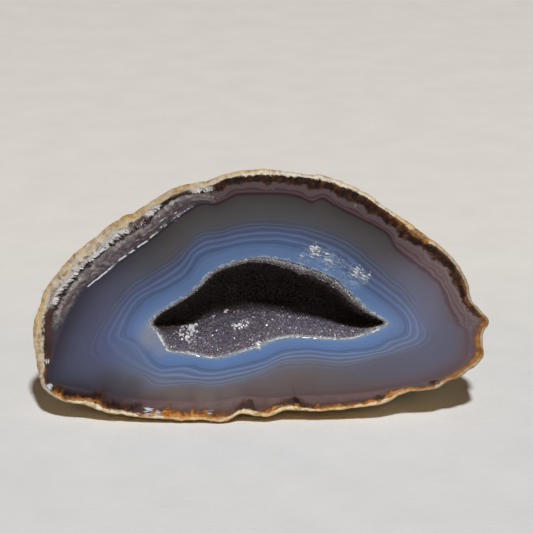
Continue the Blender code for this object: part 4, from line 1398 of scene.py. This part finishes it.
# Painted light: the floor is made lighter and warmer towards the back.
further = g.rise(g.split(position)[1], -0.02, 0.12)
patches = g.noise(position, 60.0, 6.0, 0.6)
near_floor = g.ramp(patches, [(0.3, (0.72, 0.74, 0.76)), (0.7, (0.77, 0.79, 0.81))])
painted_lit_far_floor = g.ramp(patches, [(0.3, (0.81, 0.81, 0.785)), (0.7, (0.86, 0.86, 0.835))])
g.feed(shader.inputs["Base Color"], g.blend(further, near_floor, painted_lit_far_floor))
g.feed(shader.inputs["Normal"], g.bump(g.noise(position, 900.0, 4.0, 0.6), 0.25, 0.0005))

bpy.ops.mesh.primitive_plane_add(size=FLOOR_SIZE, location=(0.0, 0.0, -FLOOR_GAP))
floor = bpy.context.active_object
floor.name = "floor"
floor.data.materials.append(plaster)
print("floor in metres", tuple(floor.dimensions))

# %% [markdown]
# The camera looks straight at the face, so the face is seen without any tilt. One soft lamp high
# up, in front and to the right stands for the sun: it throws the upper half of the hollow into
# shade and leaves its lower wall lit. The sky is dim, so the shade stays deep.

# %% Place the camera and the light
FRAME_CENTRE = np.array([1.6, 40.6, 0.0])
FRAME_WIDTH = 139.8
CAMERA_DISTANCE = 0.55
SENSOR_WIDTH = 36.0
LAMP_DISTANCE = 5.0
LAMP_SIZE = 0.45
LAMP_POWER = 225.0
SKY = 0.08
SKY_COLOUR = (1.0, 0.6, 0.28, 1.0)

target = to_world(FRAME_CENTRE)
camera_data = bpy.data.cameras.new("camera")
camera_data.sensor_width = SENSOR_WIDTH
camera_data.lens = SENSOR_WIDTH * CAMERA_DISTANCE / (FRAME_WIDTH * MM)
camera_data.clip_start = 0.01
camera = bpy.data.objects.new("camera", camera_data)
bpy.context.scene.collection.objects.link(camera)
camera.location = Vector(target + face_normal * CAMERA_DISTANCE)
camera.rotation_euler = Vector(-face_normal).to_track_quat("-Z", "Y").to_euler()
bpy.context.scene.camera = camera

lamp_direction = Vector((0.12, -0.52, 1.0)).normalized()
lamp_data = bpy.data.lights.new("lamp", "AREA")
lamp_data.shape = "DISK"
lamp_data.size = LAMP_SIZE
lamp_data.energy = LAMP_POWER
lamp_data.color = (1.0, 0.995, 0.985)
lamp = bpy.data.objects.new("lamp", lamp_data)
bpy.context.scene.collection.objects.link(lamp)
lamp.location = Vector(target) + lamp_direction * LAMP_DISTANCE
lamp.rotation_euler = (-lamp_direction).to_track_quat("-Z", "Y").to_euler()

world = bpy.data.worlds.new("sky")
world.use_nodes = True
world.node_tree.nodes["Background"].inputs["Color"].default_value = SKY_COLOUR
world.node_tree.nodes["Background"].inputs["Strength"].default_value = SKY
bpy.context.scene.world = world
bpy.context.scene.view_settings.view_transform = "Standard"

# %% [markdown]
# The dressed stone must not outgrow the solids that were checked.
